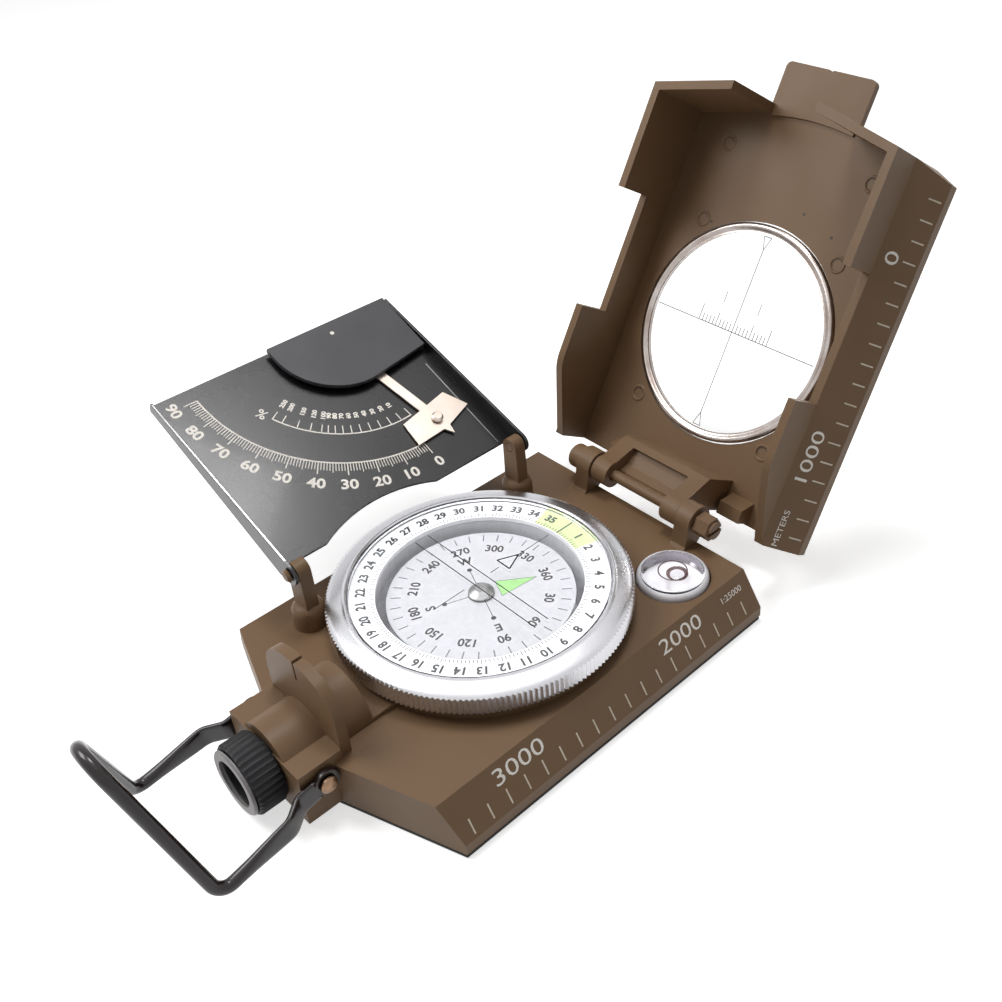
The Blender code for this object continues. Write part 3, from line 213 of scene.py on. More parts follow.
class EffectShelf:
    """Builds each shared effect once."""

    @classmethod
    def group(cls, effect: Effect) -> bpy.types.NodeTree:
        """Give the node group of an effect, made at its first use.

        Args:
            effect: The effect.

        Returns:
            Its node group.
        """
        made = bpy.data.node_groups.get(effect.value)
        if made is None:
            made = bpy.data.node_groups.new(effect.value, "ShaderNodeTree")
            maker = {
                Effect.GRAIN: cls._grain,
                Effect.EDGE_WEAR_AND_HIGHLIGHT: cls._edge_wear_and_highlight,
                Effect.SMUDGE: cls._smudge,
                Effect.TURNING: cls._turning,
            }[effect]
            maker(made)
        return made

    @staticmethod
    def _start(tree: bpy.types.NodeTree, *names: str) -> tuple[Wiring, Mapping[str, Socket]]:
        """Give a group its number inputs.

        Args:
            tree: The group.
            names: The inputs' names.

        Returns:
            The wiring of the group, and what comes in by name.
        """
        wiring = Wiring(tree)
        for name in names:
            tree.interface.new_socket(name, in_out="INPUT", socket_type="NodeSocketFloat")
        return wiring, wiring.node("NodeGroupInput").outputs

    @staticmethod
    def _end(wiring: Wiring, **values: Socket) -> None:
        """Put a group's values out.

        Args:
            wiring: The wiring of the group.
            values: The values, by name.
        """
        for name in values:
            wiring.tree.interface.new_socket(
                name, in_out="OUTPUT", socket_type="NodeSocketFloat"
            )
        wiring.node("NodeGroupOutput", values)

    @classmethod
    def _grain(cls, tree: bpy.types.NodeTree) -> None:
        """Fine pebbled height and a slow mottle of tone.

        Args:
            tree: The group.
        """
        wiring, start = cls._start(tree, "Scale", "Patch")
        mottle = wiring.span(wiring.noise(start["Patch"], 4.0), 0.32, 0.68)
        cls._end(wiring, Height=wiring.noise(start["Scale"], 3.0), Mottle=mottle)

    @classmethod
    def _edge_wear_and_highlight(cls, tree: bpy.types.NodeTree) -> None:
        """Mask of outer edges, lightened as rubbed paint and as painted highlights, broken up by
        patches.

        Args:
            tree: The group.
        """
        wiring, start = cls._start(tree, "Strength")
        shape = wiring.node("ShaderNodeNewGeometry").outputs
        soft = wiring.node("ShaderNodeBevel", {"Radius": 0.3 * MM}, samples=4)
        normals = {0: soft.outputs["Normal"], 1: shape["Normal"]}
        turn = wiring.node("ShaderNodeVectorMath", normals, operation="DOT_PRODUCT")
        mask = start["Strength"]
        for share in (
            wiring.span(shape["Pointiness"], 0.52, 0.6),
            wiring.span(turn.outputs["Value"], 0.99, 0.88),
            wiring.span(wiring.noise(420.0, 5.0), 0.34, 0.62),
        ):
            mask = wiring.maths("MULTIPLY", mask, share)
        cls._end(wiring, Mask=mask)

    @classmethod
    def _smudge(cls, tree: bpy.types.NodeTree) -> None:
        """Roughness that drifts between two values, as handled surfaces do.

        Args:
            tree: The group.
        """
        wiring, start = cls._start(tree, "Scale", "Low", "High")
        cloud = wiring.noise(start["Scale"], 5.0)
        drift = wiring.span(cloud, 0.3, 0.7, (start["Low"], start["High"]))
        cls._end(wiring, Roughness=drift)

    @classmethod
    def _turning(cls, tree: bpy.types.NodeTree) -> None:
        """Fine rings about the dial's axis, as a lathe leaves them.

        Args:
            tree: The group.
        """
        wiring, start = cls._start(tree, "Scale")
        place = wiring.node("ShaderNodeTexCoord").outputs["Object"]
        level = {0: place, 1: (1.0, 1.0, 0.0)}
        flat = wiring.node("ShaderNodeVectorMath", level, operation="MULTIPLY")
        reach = {0: flat.outputs["Vector"]}
        radius = wiring.node("ShaderNodeVectorMath", reach, operation="LENGTH")
        feeds = {"W": radius.outputs["Value"], "Scale": start["Scale"]}
        rings = wiring.node("ShaderNodeTexNoise", feeds, noise_dimensions="1D")
        cls._end(wiring, Height=rings.outputs["Fac"])


@dataclass(frozen=True)
class Finish:
    """A surface finish that makes its own material once.

    It has a second colour in slow patches and a colour for its outer edges, where they are given,
    which stands for rubbed paint and for painted highlights on the edges.
    Scales are counts per metre.
    """

    name: str
    colour: Colour
    second: Optional[Colour] = None
    rough: Point = (0.45, 0.65)
    edge: Optional[Colour] = None
    wear_and_highlight: float = 0.5
    turned: bool = False
    strength: float = 0.0
    depth: float = 0.05
    scale: float = 2600.0
    patch: float = 60.0
    cloud: float = 90.0
    metallic: float = 0.0
    coat: float = 0.0
    specular: float = 0.5

    def material(self) -> bpy.types.Material:
        """Give the finish's material, made at its first use.

        Returns:
            The material.
        """
        made = bpy.data.materials.get(self.name)
        if made is None:
            made = bpy.data.materials.new(self.name)
            made.use_nodes = True
            wiring = Wiring(made.node_tree)
            shader = wiring.node("ShaderNodeBsdfPrincipled")
            wiring.node("ShaderNodeOutputMaterial", {"Surface": self.wire(wiring, shader)})
        return made

    def wire(self, wiring: Wiring, shader: Node) -> Socket:
        """Wire the patches, the edges lightened as rubbed paint and painted highlight, the uneven
        gloss and the grain or lathe marks.

        Args:
            wiring: The material's wiring.
            shader: The shader.

        Returns:
            The surface.
        """
        low, high = self.rough
        smudge = wiring.effect(Effect.SMUDGE, Scale=self.cloud, Low=low, High=high)
        feeds = {
            "Base Color": self.colour,
            "Roughness": smudge["Roughness"],
            "Metallic": self.metallic,
            "Coat Weight": self.coat,
            "Coat Roughness": COAT_ROUGH,
            "Specular IOR Level": self.specular,
        }
        if self.second:
            grain = wiring.effect(Effect.GRAIN, Scale=self.scale, Patch=self.patch)
            feeds["Base Color"] = wiring.blend(grain["Mottle"], self.second, self.colour)
        # The edge colour paints highlights along outer edges as well as rubbed paint.
        if self.edge:
            wear_and_highlight_mask = wiring.effect(Effect.EDGE_WEAR_AND_HIGHLIGHT, Strength=self.wear_and_highlight)["Mask"]
            feeds["Base Color"] = wiring.blend(wear_and_highlight_mask, feeds["Base Color"], self.edge)
        if self.strength:
            marks = wiring.effect(Effect.TURNING, Scale=RINGS) if self.turned else grain
            relief = {"Strength": self.strength, "Distance": self.depth * MM}
            bump = wiring.node("ShaderNodeBump", {**relief, "Height": marks["Height"]})
            feeds["Normal"] = bump.outputs["Normal"]
        wiring.fill(shader, feeds)
        return shader.outputs["BSDF"]


@dataclass(frozen=True)
class CastFinish(Finish):
    """Paint, rubber or moulded plastic with a grain, a mottle and edges lightened as rubbed paint
    and painted highlight.
    """

    strength: float = 0.25


@dataclass(frozen=True)
class MetalFinish(Finish):
    """Bare metal with lathe rings or a fine grain."""

    rough: Point = (0.2, 0.34)
    strength: float = 0.12
    depth: float = 0.02
    scale: float = 5200.0
    patch: float = 140.0
    cloud: float = 160.0
    metallic: float = 1.0


@dataclass(frozen=True)
class InkFinish(Finish):
    """Printed ink, a little patchy."""

    scale: float = 4000.0
    patch: float = 900.0
    cloud: float = 300.0


@dataclass(frozen=True)
class GlassFinish(Finish):
    """Clear glass or acrylic that lets light through to what it covers."""

    rough: Point = (0.0, 0.03)
    cloud: float = 70.0
    index: float = 1.45

    def wire(self, wiring: Wiring, shader: Node) -> Socket:
        """Wire clear glass with faint smudges, and clear shadows.

        Args:
            wiring: The material's wiring.
            shader: The shader.

        Returns:
            The surface.
        """
        surface = super().wire(wiring, shader)
        wiring.fill(shader, {"Transmission Weight": 1.0, "IOR": self.index})
        shadow = wiring.node("ShaderNodeLightPath").outputs["Is Shadow Ray"]
        clear = wiring.node("ShaderNodeBsdfTransparent").outputs["BSDF"]
        return wiring.node("ShaderNodeMixShader", {0: shadow, 1: surface, 2: clear}).outputs[0]


PAINT = CastFinish(
    "brown paint", tone(120, 94, 68), tone(116, 90, 65), (0.42, 0.5), tone(156, 130, 104),
    specular=0.3,
)
RUBBER = CastFinish(
    "black rubber", tone(24, 22, 20), tone(17, 15, 14), (0.7, 0.85), tone(48, 46, 44), 0.4
)
CHARCOAL = CastFinish(
    "charcoal plastic", tone(28, 28, 31), tone(19, 19, 21), (0.45, 0.6), tone(80, 80, 84), 0.7,
    specular=0.3,
)
RIM_GREY = CastFinish(
    "grey rim", tone(132, 128, 128), tone(116, 112, 112), (0.35, 0.5), tone(170, 166, 165)
)
ENAMEL = CastFinish(
    "black enamel", tone(30, 20, 21), tone(22, 14, 15), (0.2, 0.3), tone(92, 78, 72),
    strength=0.12, scale=900.0, patch=80.0, coat=0.3, specular=0.35,
)
# The pale edge colour is mostly a painted highlight along the plate's folded edges, with some
# rubbed paint.
PLATE_BLACK = CastFinish(
    "plate lacquer", tone(20, 20, 22), tone(17, 17, 19), (0.25, 0.3), tone(200, 200, 202), 0.8,
    strength=0.2, depth=0.03, scale=3600.0, patch=50.0, coat=0.15,
)
COVER_GREY = CastFinish(
    "cover plastic", tone(62, 62, 65), tone(54, 54, 57), (0.4, 0.52), tone(96, 96, 99), 0.4
)
TURNED = MetalFinish(
    "turned aluminium", tone(210, 210, 214), tone(205, 205, 209), (0.25, 0.29),
    turned=True, strength=0.008,
)
LENS_METAL = MetalFinish(
    "lens ring metal", tone(196, 188, 184), tone(158, 144, 136), (0.16, 0.26)
)
STEEL = MetalFinish("pin steel", tone(178, 178, 180), tone(150, 148, 146))
MAGNET = MetalFinish("magnet steel", tone(96, 96, 100), tone(80, 80, 84), (0.4, 0.5))
COPPER = MetalFinish("worn brass", tone(158, 130, 106), tone(112, 86, 68), (0.25, 0.4))
CREAM = MetalFinish("cream metal", tone(218, 206, 196), tone(206, 192, 180), (0.3, 0.4))
CUP = MetalFinish("level cup", tone(150, 146, 152), tone(126, 122, 128), (0.12, 0.2))
DIAL_WHITE = InkFinish("dial white", tone(236, 235, 239), tone(230, 229, 233), (0.4, 0.5))
CARD_WHITE = InkFinish("card white", tone(182, 181, 186), tone(176, 175, 180), (0.4, 0.5))
PEARL = InkFinish("pearl grey", tone(206, 205, 211), tone(198, 197, 203), (0.3, 0.4))
BLACK_INK = InkFinish("black ink", tone(34, 33, 36), tone(52, 51, 54))
GREY_INK = InkFinish("grey ink", tone(92, 91, 96), tone(118, 117, 122))
PALE_INK = InkFinish("pale ink", tone(254, 249, 241), tone(250, 243, 234))
TAN_INK = InkFinish("tan ink", tone(232, 221, 204), tone(208, 194, 174))
LUMINOUS = InkFinish("luminous green", tone(146, 200, 122), tone(138, 190, 114))
PALE_GREEN = InkFinish("pale green", tone(194, 208, 152), tone(186, 200, 142))
LEVEL_INK_AND_SHADE = InkFinish("level ink and bubble shade", tone(74, 44, 44), tone(96, 64, 62))
PIT_SHADE = InkFinish("pit shade", tone(52, 38, 26), tone(64, 48, 34))
RETICLE = InkFinish("reticle ink", tone(40, 39, 42), tone(62, 61, 64))
GLASS = GlassFinish("clear glass", (0.97, 0.985, 0.985, 1.0))
VIAL = GlassFinish("vial acrylic", (0.97, 0.97, 0.98, 1.0), rough=(0.0, 0.05), index=1.49)


def shift(x: float, y: float, z: float) -> Matrix:
    """Give the matrix of a plain move."""
    return Matrix.Translation(Vector((x, y, z)) * MM)


def hinged(place: Place, degrees: float, axis: str) -> Matrix:
    """Give the matrix of what is hung at a place and turned about an axis there."""
    return shift(*place) @ Matrix.Rotation(math.radians(degrees), 4, axis)


def plane(origin: Place, right: Place, up: Place) -> Matrix:
    """Make the matrix of a drawing plane.

    Args:
        origin: Where its zero lies.
        right: The direction of its first axis.
        up: The direction of its second axis.

    Returns:
        The matrix from drawing to row coordinates.
    """
    first = Vector(right).normalized()
    second = Vector(up).normalized()
    matrix = Matrix((first, second, first.cross(second))).transposed().to_4x4()
    matrix.translation = Vector(origin) * MM
    return matrix


def level(height: float, y: float = 0.0) -> Matrix:
    """Give the level drawing plane at a height, with its zero on the middle line."""
    return plane((0.0, y, height), EAST, NORTH)


def upright(y: float) -> Matrix:
    """Give the upright drawing plane that is raised along the row's second axis."""
    return plane((0.0, y, 0.0), (-1.0, 0.0, 0.0), UP)


def on_circle(radius: float, degrees: float, centre: Point = CENTRE) -> Point:
    """Give a point on a circle, by its angle from the first axis."""
    angle = math.radians(degrees)
    return centre[0] + radius * math.cos(angle), centre[1] + radius * math.sin(angle)


def oblong(left: float, low: float, right: float, high: float) -> list[Point]:
    """Give the corners of an upright oblong, round from its lower left."""
    return [(left, low), (right, low), (right, high), (left, high)]


def coat(obj: Piece, finish: Finish) -> None:
    """Give a piece one finish all over."""
    obj.data.materials.clear()
    obj.data.materials.append(finish.material())


def hang(obj: Piece, finish: Finish, body: Body) -> None:
    """Give a new piece its finish and hang it on its body.

    Args:
        obj: The piece.
        finish: Its finish.
        body: The body that it moves with.
    """
    coat(obj, finish)
    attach(obj, body.value)
    LOG.info("piece %s rides on %s", obj.name, body.value)


def keep(finish: Finish, *nodes: str, rounding: float = 0.0) -> None:
    """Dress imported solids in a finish, and round their sharp edges if asked.

    Args:
        finish: Their finish.
        nodes: The solids' names.
        rounding: Width of the rounding.
    """
    for node in nodes:
        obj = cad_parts[node]
        coat(obj, finish)
        if rounding:
            soften(obj, rounding)
        LOG.info("solid %s dressed in %s", node, finish.name)


def weld(obj: Piece) -> None:
    """Join a piece's corners where they meet."""
    obj.modifiers.new("weld", "WELD").merge_threshold = WELD_GAP


def soften(obj: Piece, rounding: float) -> None:
    """Round the sharp edges of a piece.

    Args:
        obj: The piece.
        rounding: Width of the rounding.
    """
    normals = obj.data.attributes.get("custom_normal")
    if normals is not None:
        obj.data.attributes.remove(normals)
    obj.data.shade_smooth()
    weld(obj)
    flats = obj.modifiers.new("flats", "DECIMATE")
    flats.decimate_type = "DISSOLVE"
    flats.angle_limit = FLAT_ANGLE
    edges = obj.modifiers.new("edges", "BEVEL")
    edges.width = rounding * MM
    edges.segments = 2
    edges.limit_method = "ANGLE"
    edges.angle_limit = EDGE_ANGLE
    edges.use_clamp_overlap = True
    edges.harden_normals = True


def settle(name: str, mesh: bmesh.types.BMesh, matrix: Matrix = STAY) -> Piece:
    """Make a gathered mesh a piece of the scene.

    Args:
        name: The piece's name.
        mesh: The mesh, in metres; it is used up.
        matrix: Where it goes.

    Returns:
        The piece.
    """
    data = bpy.data.meshes.new(name)
    mesh.transform(matrix)
    mesh.to_mesh(data)
    mesh.free()
    obj = bpy.data.objects.new(name, data)
    bpy.context.scene.collection.objects.link(obj)
    return obj


def slab(name: str, outline: Sequence[Point], matrix: Matrix, depth: float) -> Piece:
    """Raise an outline from its plane to a block.

    Args:
        name: The piece's name.
        outline: The outline on the plane.
        matrix: The plane.
        depth: How far it is raised along the plane's third axis.

    Returns:
        The piece.
    """
    mesh = bmesh.new()
    low, high = (
        [mesh.verts.new(Vector((u, v, w)) * MM) for u, v in outline] for w in (0.0, depth)
    )
    mesh.faces.new(low)
    mesh.faces.new(high)
    for i in range(len(outline)):
        n = (i + 1) % len(outline)
        mesh.faces.new((low[i], low[n], high[n], high[i]))
    bmesh.ops.recalc_face_normals(mesh, faces=mesh.faces)
    return settle(name, mesh, matrix)


def carve(obj: Piece, cutter: Piece) -> None:
    """Cut one piece out of another and drop the cutter.

    Args:
        obj: The piece that is cut.
        cutter: What is cut out of it.
    """
    weld(obj)
    cut = obj.modifiers.new("cut", "BOOLEAN")
    cut.operation = "DIFFERENCE"
    cut.solver = "EXACT"
    cut.object = cutter
    bpy.context.view_layer.update()
    graph = bpy.context.evaluated_depsgraph_get()
    obj.data = bpy.data.meshes.new_from_object(obj.evaluated_get(graph))
    obj.modifiers.clear()
    bpy.data.objects.remove(cutter)


def spun(
    name: str,
    profile: Sequence[Point],
    columns: int,
    matrix: Matrix = STAY,
    teeth: float = 0.0,
) -> Piece:
    """Turn a closed (radius, height) profile about the Z axis.

    Args:
        name: The piece's name.
        profile: Its outline, down the outer side.
        columns: How many columns it has round the axis.
        matrix: Where it goes.
        teeth: Depth of straight teeth cut in every second column of the widest band.

    Returns:
        The piece.
    """
    mesh = bmesh.new()
    widest = max(r for r, _ in profile)
    rows = []
    for i in range(columns):
        a = 2 * math.pi * i / columns
        row = []
        for r, z in profile:
            reach = r - teeth if teeth and i % 2 and r > widest - teeth / 2 else r
            row.append(mesh.verts.new(Vector((reach * math.cos(a), reach * math.sin(a), z)) * MM))
        rows.append(row)
    for i in range(columns):
        here, there = rows[i], rows[(i + 1) % columns]
        for j in range(len(profile)):
            k = (j + 1) % len(profile)
            mesh.faces.new((here[j], here[k], there[k], there[j]))
    bmesh.ops.remove_doubles(mesh, verts=mesh.verts, dist=SAME_POINT)
    bmesh.ops.recalc_face_normals(mesh, faces=mesh.faces)
    obj = settle(name, mesh, matrix)
    obj.data.shade_smooth()
    obj.data.set_sharp_from_angle(angle=CREASE_ANGLE)
    return obj


class Print:
    """Thin printed marks gathered in one plane and made one mesh."""

    def __init__(self, name: str, matrix: Matrix) -> None:
        """Start an empty print.

        Args:
            name: The piece's name.
            matrix: The plane that it lies on.
        """
        self.name = name
        self.matrix = matrix
        self.mesh = bmesh.new()

    def patch(self, points: Sequence[Point]) -> None:
        """Fill an outline."""
        self.mesh.faces.new([self.mesh.verts.new(Vector((u, v, LIFT)) * MM) for u, v in points])

    def stroke(self, start: Point, end: Point, width: float) -> None:
        """Draw a straight line.

        Args:
            start: Where it starts.
            end: Where it ends.
            width: Its width.
        """
        first, last = Vector(start), Vector(end)
        along = (last - first).normalized()
        side = Vector((-along.y, along.x)) * width / 2
        self.patch([first - side, last - side, last + side, first + side])

    def outline(self, points: Sequence[Point], width: float) -> None:
        """Draw the edge of a closed shape."""
        for start, end in zip(points, [*points[1:], points[0]]):
            self.stroke(start, end, width)

    def ring(
        self,
        centre: Point,
        inner: float,
        outer: float,
        first: float = 0.0,
        last: float = 360.0,
        steps: int = 72,
        inner_centre: Optional[Point] = None,
    ) -> None:
        """Draw a ring or a piece of one.

        Args:
            centre: Its centre.
            inner: Its inner radius.
            outer: Its outer radius.
            first: The angle where it starts, in degrees.
            last: The angle where it ends.
            steps: How many flat pieces it is made of.
            inner_centre: The centre of its inner edge, if that is another.
        """
        edges = ((inner, inner_centre or centre), (outer, centre))
        for i in range(steps):
            a, b = (first + (last - first) * n / steps for n in (i, i + 1))
            near = [on_circle(radius, a, middle) for radius, middle in edges]
            far = [on_circle(radius, b, middle) for radius, middle in reversed(edges)]
            self.patch(near + far)

    def disc(self, centre: Point, radius: float, steps: int = 28) -> None:
        """Fill a circle."""
        self.patch([on_circle(radius, 360 * i / steps, centre) for i in range(steps)])

    def words(
        self,
        text: str,
        at: Point,
        height: float,
        turn: float = 0.0,
        stretch: float = 1.0,
        weight: float = 0.0,
    ) -> None:
        """Set generic figures or letters.

        Args:
            text: What is set.
            at: The middle of the words.
            height: Their height.
            turn: The angle of their line, in degrees.
            stretch: How much wider than usual they are.
            weight: How much thicker their lines are, as a share of their height.
        """
        curve = bpy.data.curves.new("words", "FONT")
        curve.body = text
        curve.resolution_u = 3
        curve.offset = weight
        drawn = bpy.data.objects.new("words", curve)
        bpy.context.scene.collection.objects.link(drawn)
        bpy.context.view_layer.update()
        graph = bpy.context.evaluated_depsgraph_get()
        flat = bpy.data.meshes.new_from_object(drawn.evaluated_get(graph))
        bpy.data.objects.remove(drawn)
        xs = [v.co.x for v in flat.vertices]
        ys = [v.co.y for v in flat.vertices]
        scale = height * MM / (max(ys) - min(ys))
        middle = Vector(((max(xs) + min(xs)) / 2, (max(ys) + min(ys)) / 2, 0.0))
        size = Matrix.Diagonal((scale * stretch, scale, 1.0, 1.0))
        place = hinged((*at, LIFT), turn, "Z")
        flat.transform(place @ size @ Matrix.Translation(-middle))
        self.mesh.from_mesh(flat)
        bpy.data.meshes.remove(flat)

    def done(self, finish: Finish, body: Body) -> None:
        """Make the print a piece.

        Args:
            finish: Its ink.
            body: The body that it moves with.
        """
        hang(settle(self.name, self.mesh, self.matrix), finish, body)


@dataclass
class Ruler:
    """A map scale printed on a sloping edge."""

    name: str
    matrix: Matrix
    body: Body
    first: float
    step: float
    count: int = 18
    low: float = 0.7
    high: float = 3.45
    width: float = 0.3
    figure_line: float = 5.85

    def build(self, *figures: tuple[str, float, float, float]) -> None:
        """Print the ticks and their figures.

        Args:
            figures: Each a text, its place along the edge, its height and its stretch.
        """
        ticks = Print(f"{self.name}_ticks", self.matrix)
        for i in range(self.count):
            at = self.first + self.step * i
            ticks.stroke((at, self.low), (at, self.high), self.width)
        ticks.done(TAN_INK, self.body)
        marks = Print(f"{self.name}_figures", self.matrix)
        for text, at, height, stretch in figures:
            marks.words(text, (at, self.figure_line), height, stretch=stretch)
        marks.done(PALE_INK, self.body)


@dataclass
class Base:
    """The base casting with its ruler, its sight housing, its post feet and its level."""

    ruler_foot: Place = (33.3, 0.0, 3.2)
    ruler_slope: Place = (-4.6, 0.0, 7.0)
    deck: float = 10.2
    root: float = 0.3
    wall_front: float = -39.0
    wall_back: float = -37.0
    cut_half: float = 13.0
    cut_top: float = 26.0
    cut_foot: float = 10.23
    cut_depth: float = 8.0
    overcut: float = 0.12
    spare: float = 0.5
    dome_r: float = 7.6
    dome_top: float = 17.9
    dome_depth: float = 6.0
    dome_fall: float = 0.3
    window: tuple[float, float, float, float] = (-4.3, 12.3, 4.3, 15.4)
    window_wall: float = 1.2
    window_depth: float = 9.0
    apron_end: float = -25.5
    apron_height: float = 0.9
    post_x: float = -20.6
    level_at: Point = (20.3, 30.3)
    level_top: float = 11.8
    cap_foot: float = 11.25
    level_ring_r: float = 2.9
    bubble_r: float = 2.1
    bubble_at: Point = (20.9, 30.9)
    bubble_inner_at: Point = (21.15, 30.6)

    def dress(self) -> None:
        """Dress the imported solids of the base."""
        keep(RUBBER, "sole_pad", rounding=0.15)
        keep(GLASS, "sight_prism")
        keep(PAINT, "hinge_rod", "hinge_cap", "hinge_screw", rounding=0.2)
        keep(PEARL, "capsule_bowl")
        keep(STEEL, "needle_pivot")
        keep(DIAL_WHITE, "level_seat")
        keep(PAINT, "clinometer_pin_near", "clinometer_pin_far")
        keep(COPPER, "bail_rivet_left", "bail_rivet_right")

    def build(self) -> None:
        """Print the ruler, trim the casting and build what stands on it."""
        slope = plane(self.ruler_foot, NORTH, self.ruler_slope)
        Ruler("base_ruler", slope, Body.BASE, first=37.2, step=-4.0).build(
            ("2000", 21.4, 2.8, 1.4), ("3000", -18.6, 2.8, 1.4), ("1:25000", 35.9, 1.2, 1.1)
        )
        self.casting()
        self.dome()
        self.feet()
        self.vial()
        self.bubble()

    def casting(self) -> None:
        """Take the wide housing off the casting and round the sight wall's corners."""
        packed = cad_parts["base_casting"]
        casting = bpy.data.objects.new("base_body", packed.data.copy())
        casting.matrix_world = packed.matrix_world
        bpy.context.scene.collection.objects.link(casting)
        half, foot, top = self.cut_half, self.cut_foot, self.cut_top
        housing = oblong(-half, foot, half, top)
        carve(casting, slab("housing", housing, upright(self.wall_back), self.cut_depth))
        front = upright(self.wall_front - self.overcut)
        depth = self.wall_back - self.wall_front + self.spare
        corner = [
            (half, foot), (9.9, foot), (9.9, 17.6), (9.7, 19.3), (9.1, 20.9), (8.1, 22.2),
            (6.6, 23.56), (5.0, 24.25), (5.0, top), (half, top),
        ]
        for side in (-1, 1):
            carve(casting, slab("corner", [(side * x, z) for x, z in corner], front, depth))
        soften(casting, 0.3)
        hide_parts("base_casting")
        hang(casting, PAINT, Body.BASE)

    def dome(self) -> None:
        """Build the half-round housing of the sight prism and the low apron at its foot."""
        half, foot, start = self.dome_r, self.deck - self.root, self.wall_back - self.root
        middle, steps = (0.0, self.dome_top - half), 24
        crown = [on_circle(half, 180.0 * i / steps, middle) for i in range(steps + 1)]
        outline = [(half, foot), *crown, (-half, foot)]
        dome = slab("sight_dome", outline, upright(start), self.dome_depth + self.root)
        for vertex in dome.data.vertices:
            if vertex.co.y > self.wall_back * MM:
                share = (self.dome_top - vertex.co.z / MM) / (self.dome_top - self.deck)
                vertex.co.y += self.dome_fall * share * MM
        inside = upright(self.wall_back + self.window_wall)
        carve(dome, slab("window", oblong(*self.window), inside, self.window_depth))
        soften(dome, 0.35)
        hang(dome, PAINT, Body.BASE)
        edge = oblong(-half, start, half, self.apron_end)
        apron = slab("sight_apron", edge, level(foot), self.root + self.apron_height)
        soften(apron, 0.25)
        hang(apron, PAINT, Body.BASE)

    def feet(self) -> None:
        """Turn the round feet of the clinometer's posts."""
        profile = [
            (0.0, -self.root), (0.0, 5.0), (1.9, 4.9), (2.7, 4.5), (3.1, 3.7), (3.2, 2.6),
            (3.2, -self.root),
        ]
        for name, y in (("near", -24.3), ("far", 27.7)):
            foot = spun(f"post_foot_{name}", profile, 48, shift(self.post_x, y, self.deck))
            hang(foot, PAINT, Body.BASE)

    def vial(self) -> None:
        """Build the level's wall, its bright cup and its clear cap."""
        place = shift(*self.level_at, 0.0)
        wall = [
            (7.0, 9.0), (7.0, 10.3), (6.93, 10.75), (6.75, 11.1), (6.5, 11.3), (6.18, 11.35),
            (6.18, 9.0),
        ]
        hang(spun("level_wall", wall, 64, place), DIAL_WHITE, Body.BASE)
        cup = [
            (6.17, 9.0), (6.17, 10.8), (6.1, 10.8), (6.03, 10.2), (5.9, 9.4), (5.5, 9.05),
            (5.5, 9.0),
        ]
        hang(spun("level_cup", cup, 64, place), CUP, Body.BASE)
        falls = [(0.0, 0.0), (4.0, 0.02), (5.6, 0.1), (6.0, 0.25), (6.15, 0.4)]
        lens = [(r, self.level_top - fall) for r, fall in falls]
        cap = spun("level_cap", [*lens, (6.15, self.cap_foot), (0.0, self.cap_foot)], 64, place)
        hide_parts("level_vial")
        hang(cap, VIAL, Body.BASE)

    def bubble(self) -> None:
        """Print the level's ring, and float its bubble with a painted shade ring for the bubble's
        dark edge.
        """
        line, dark, sink = 0.28, 0.75, 0.5
        ring = Print("level_ring", level(self.level_top))
        ring.ring(self.level_at, self.level_ring_r - line, self.level_ring_r)
        ring.done(LEVEL_INK_AND_SHADE, Body.BASE)
        r = self.bubble_r
        # Painted shade: a dark ring, thicker on one side, stands for the darkening at the
        # bubble's edge.
        shade = Print("bubble_painted_shade", level(self.cap_foot - sink))
        shade.ring(self.bubble_at, r - dark, r, steps=48, inner_centre=self.bubble_inner_at)
        shade.done(LEVEL_INK_AND_SHADE, Body.BASE)
        drops = [(0.0, 0.05), (r * 0.6, 0.12), (r, 0.45), (0.0, 0.45)]
        profile = [(reach, self.cap_foot - drop) for reach, drop in drops]
        bead = spun("level_bubble", profile, 40, shift(*self.bubble_at, 0.0))
        hang(bead, VIAL, Body.BASE)


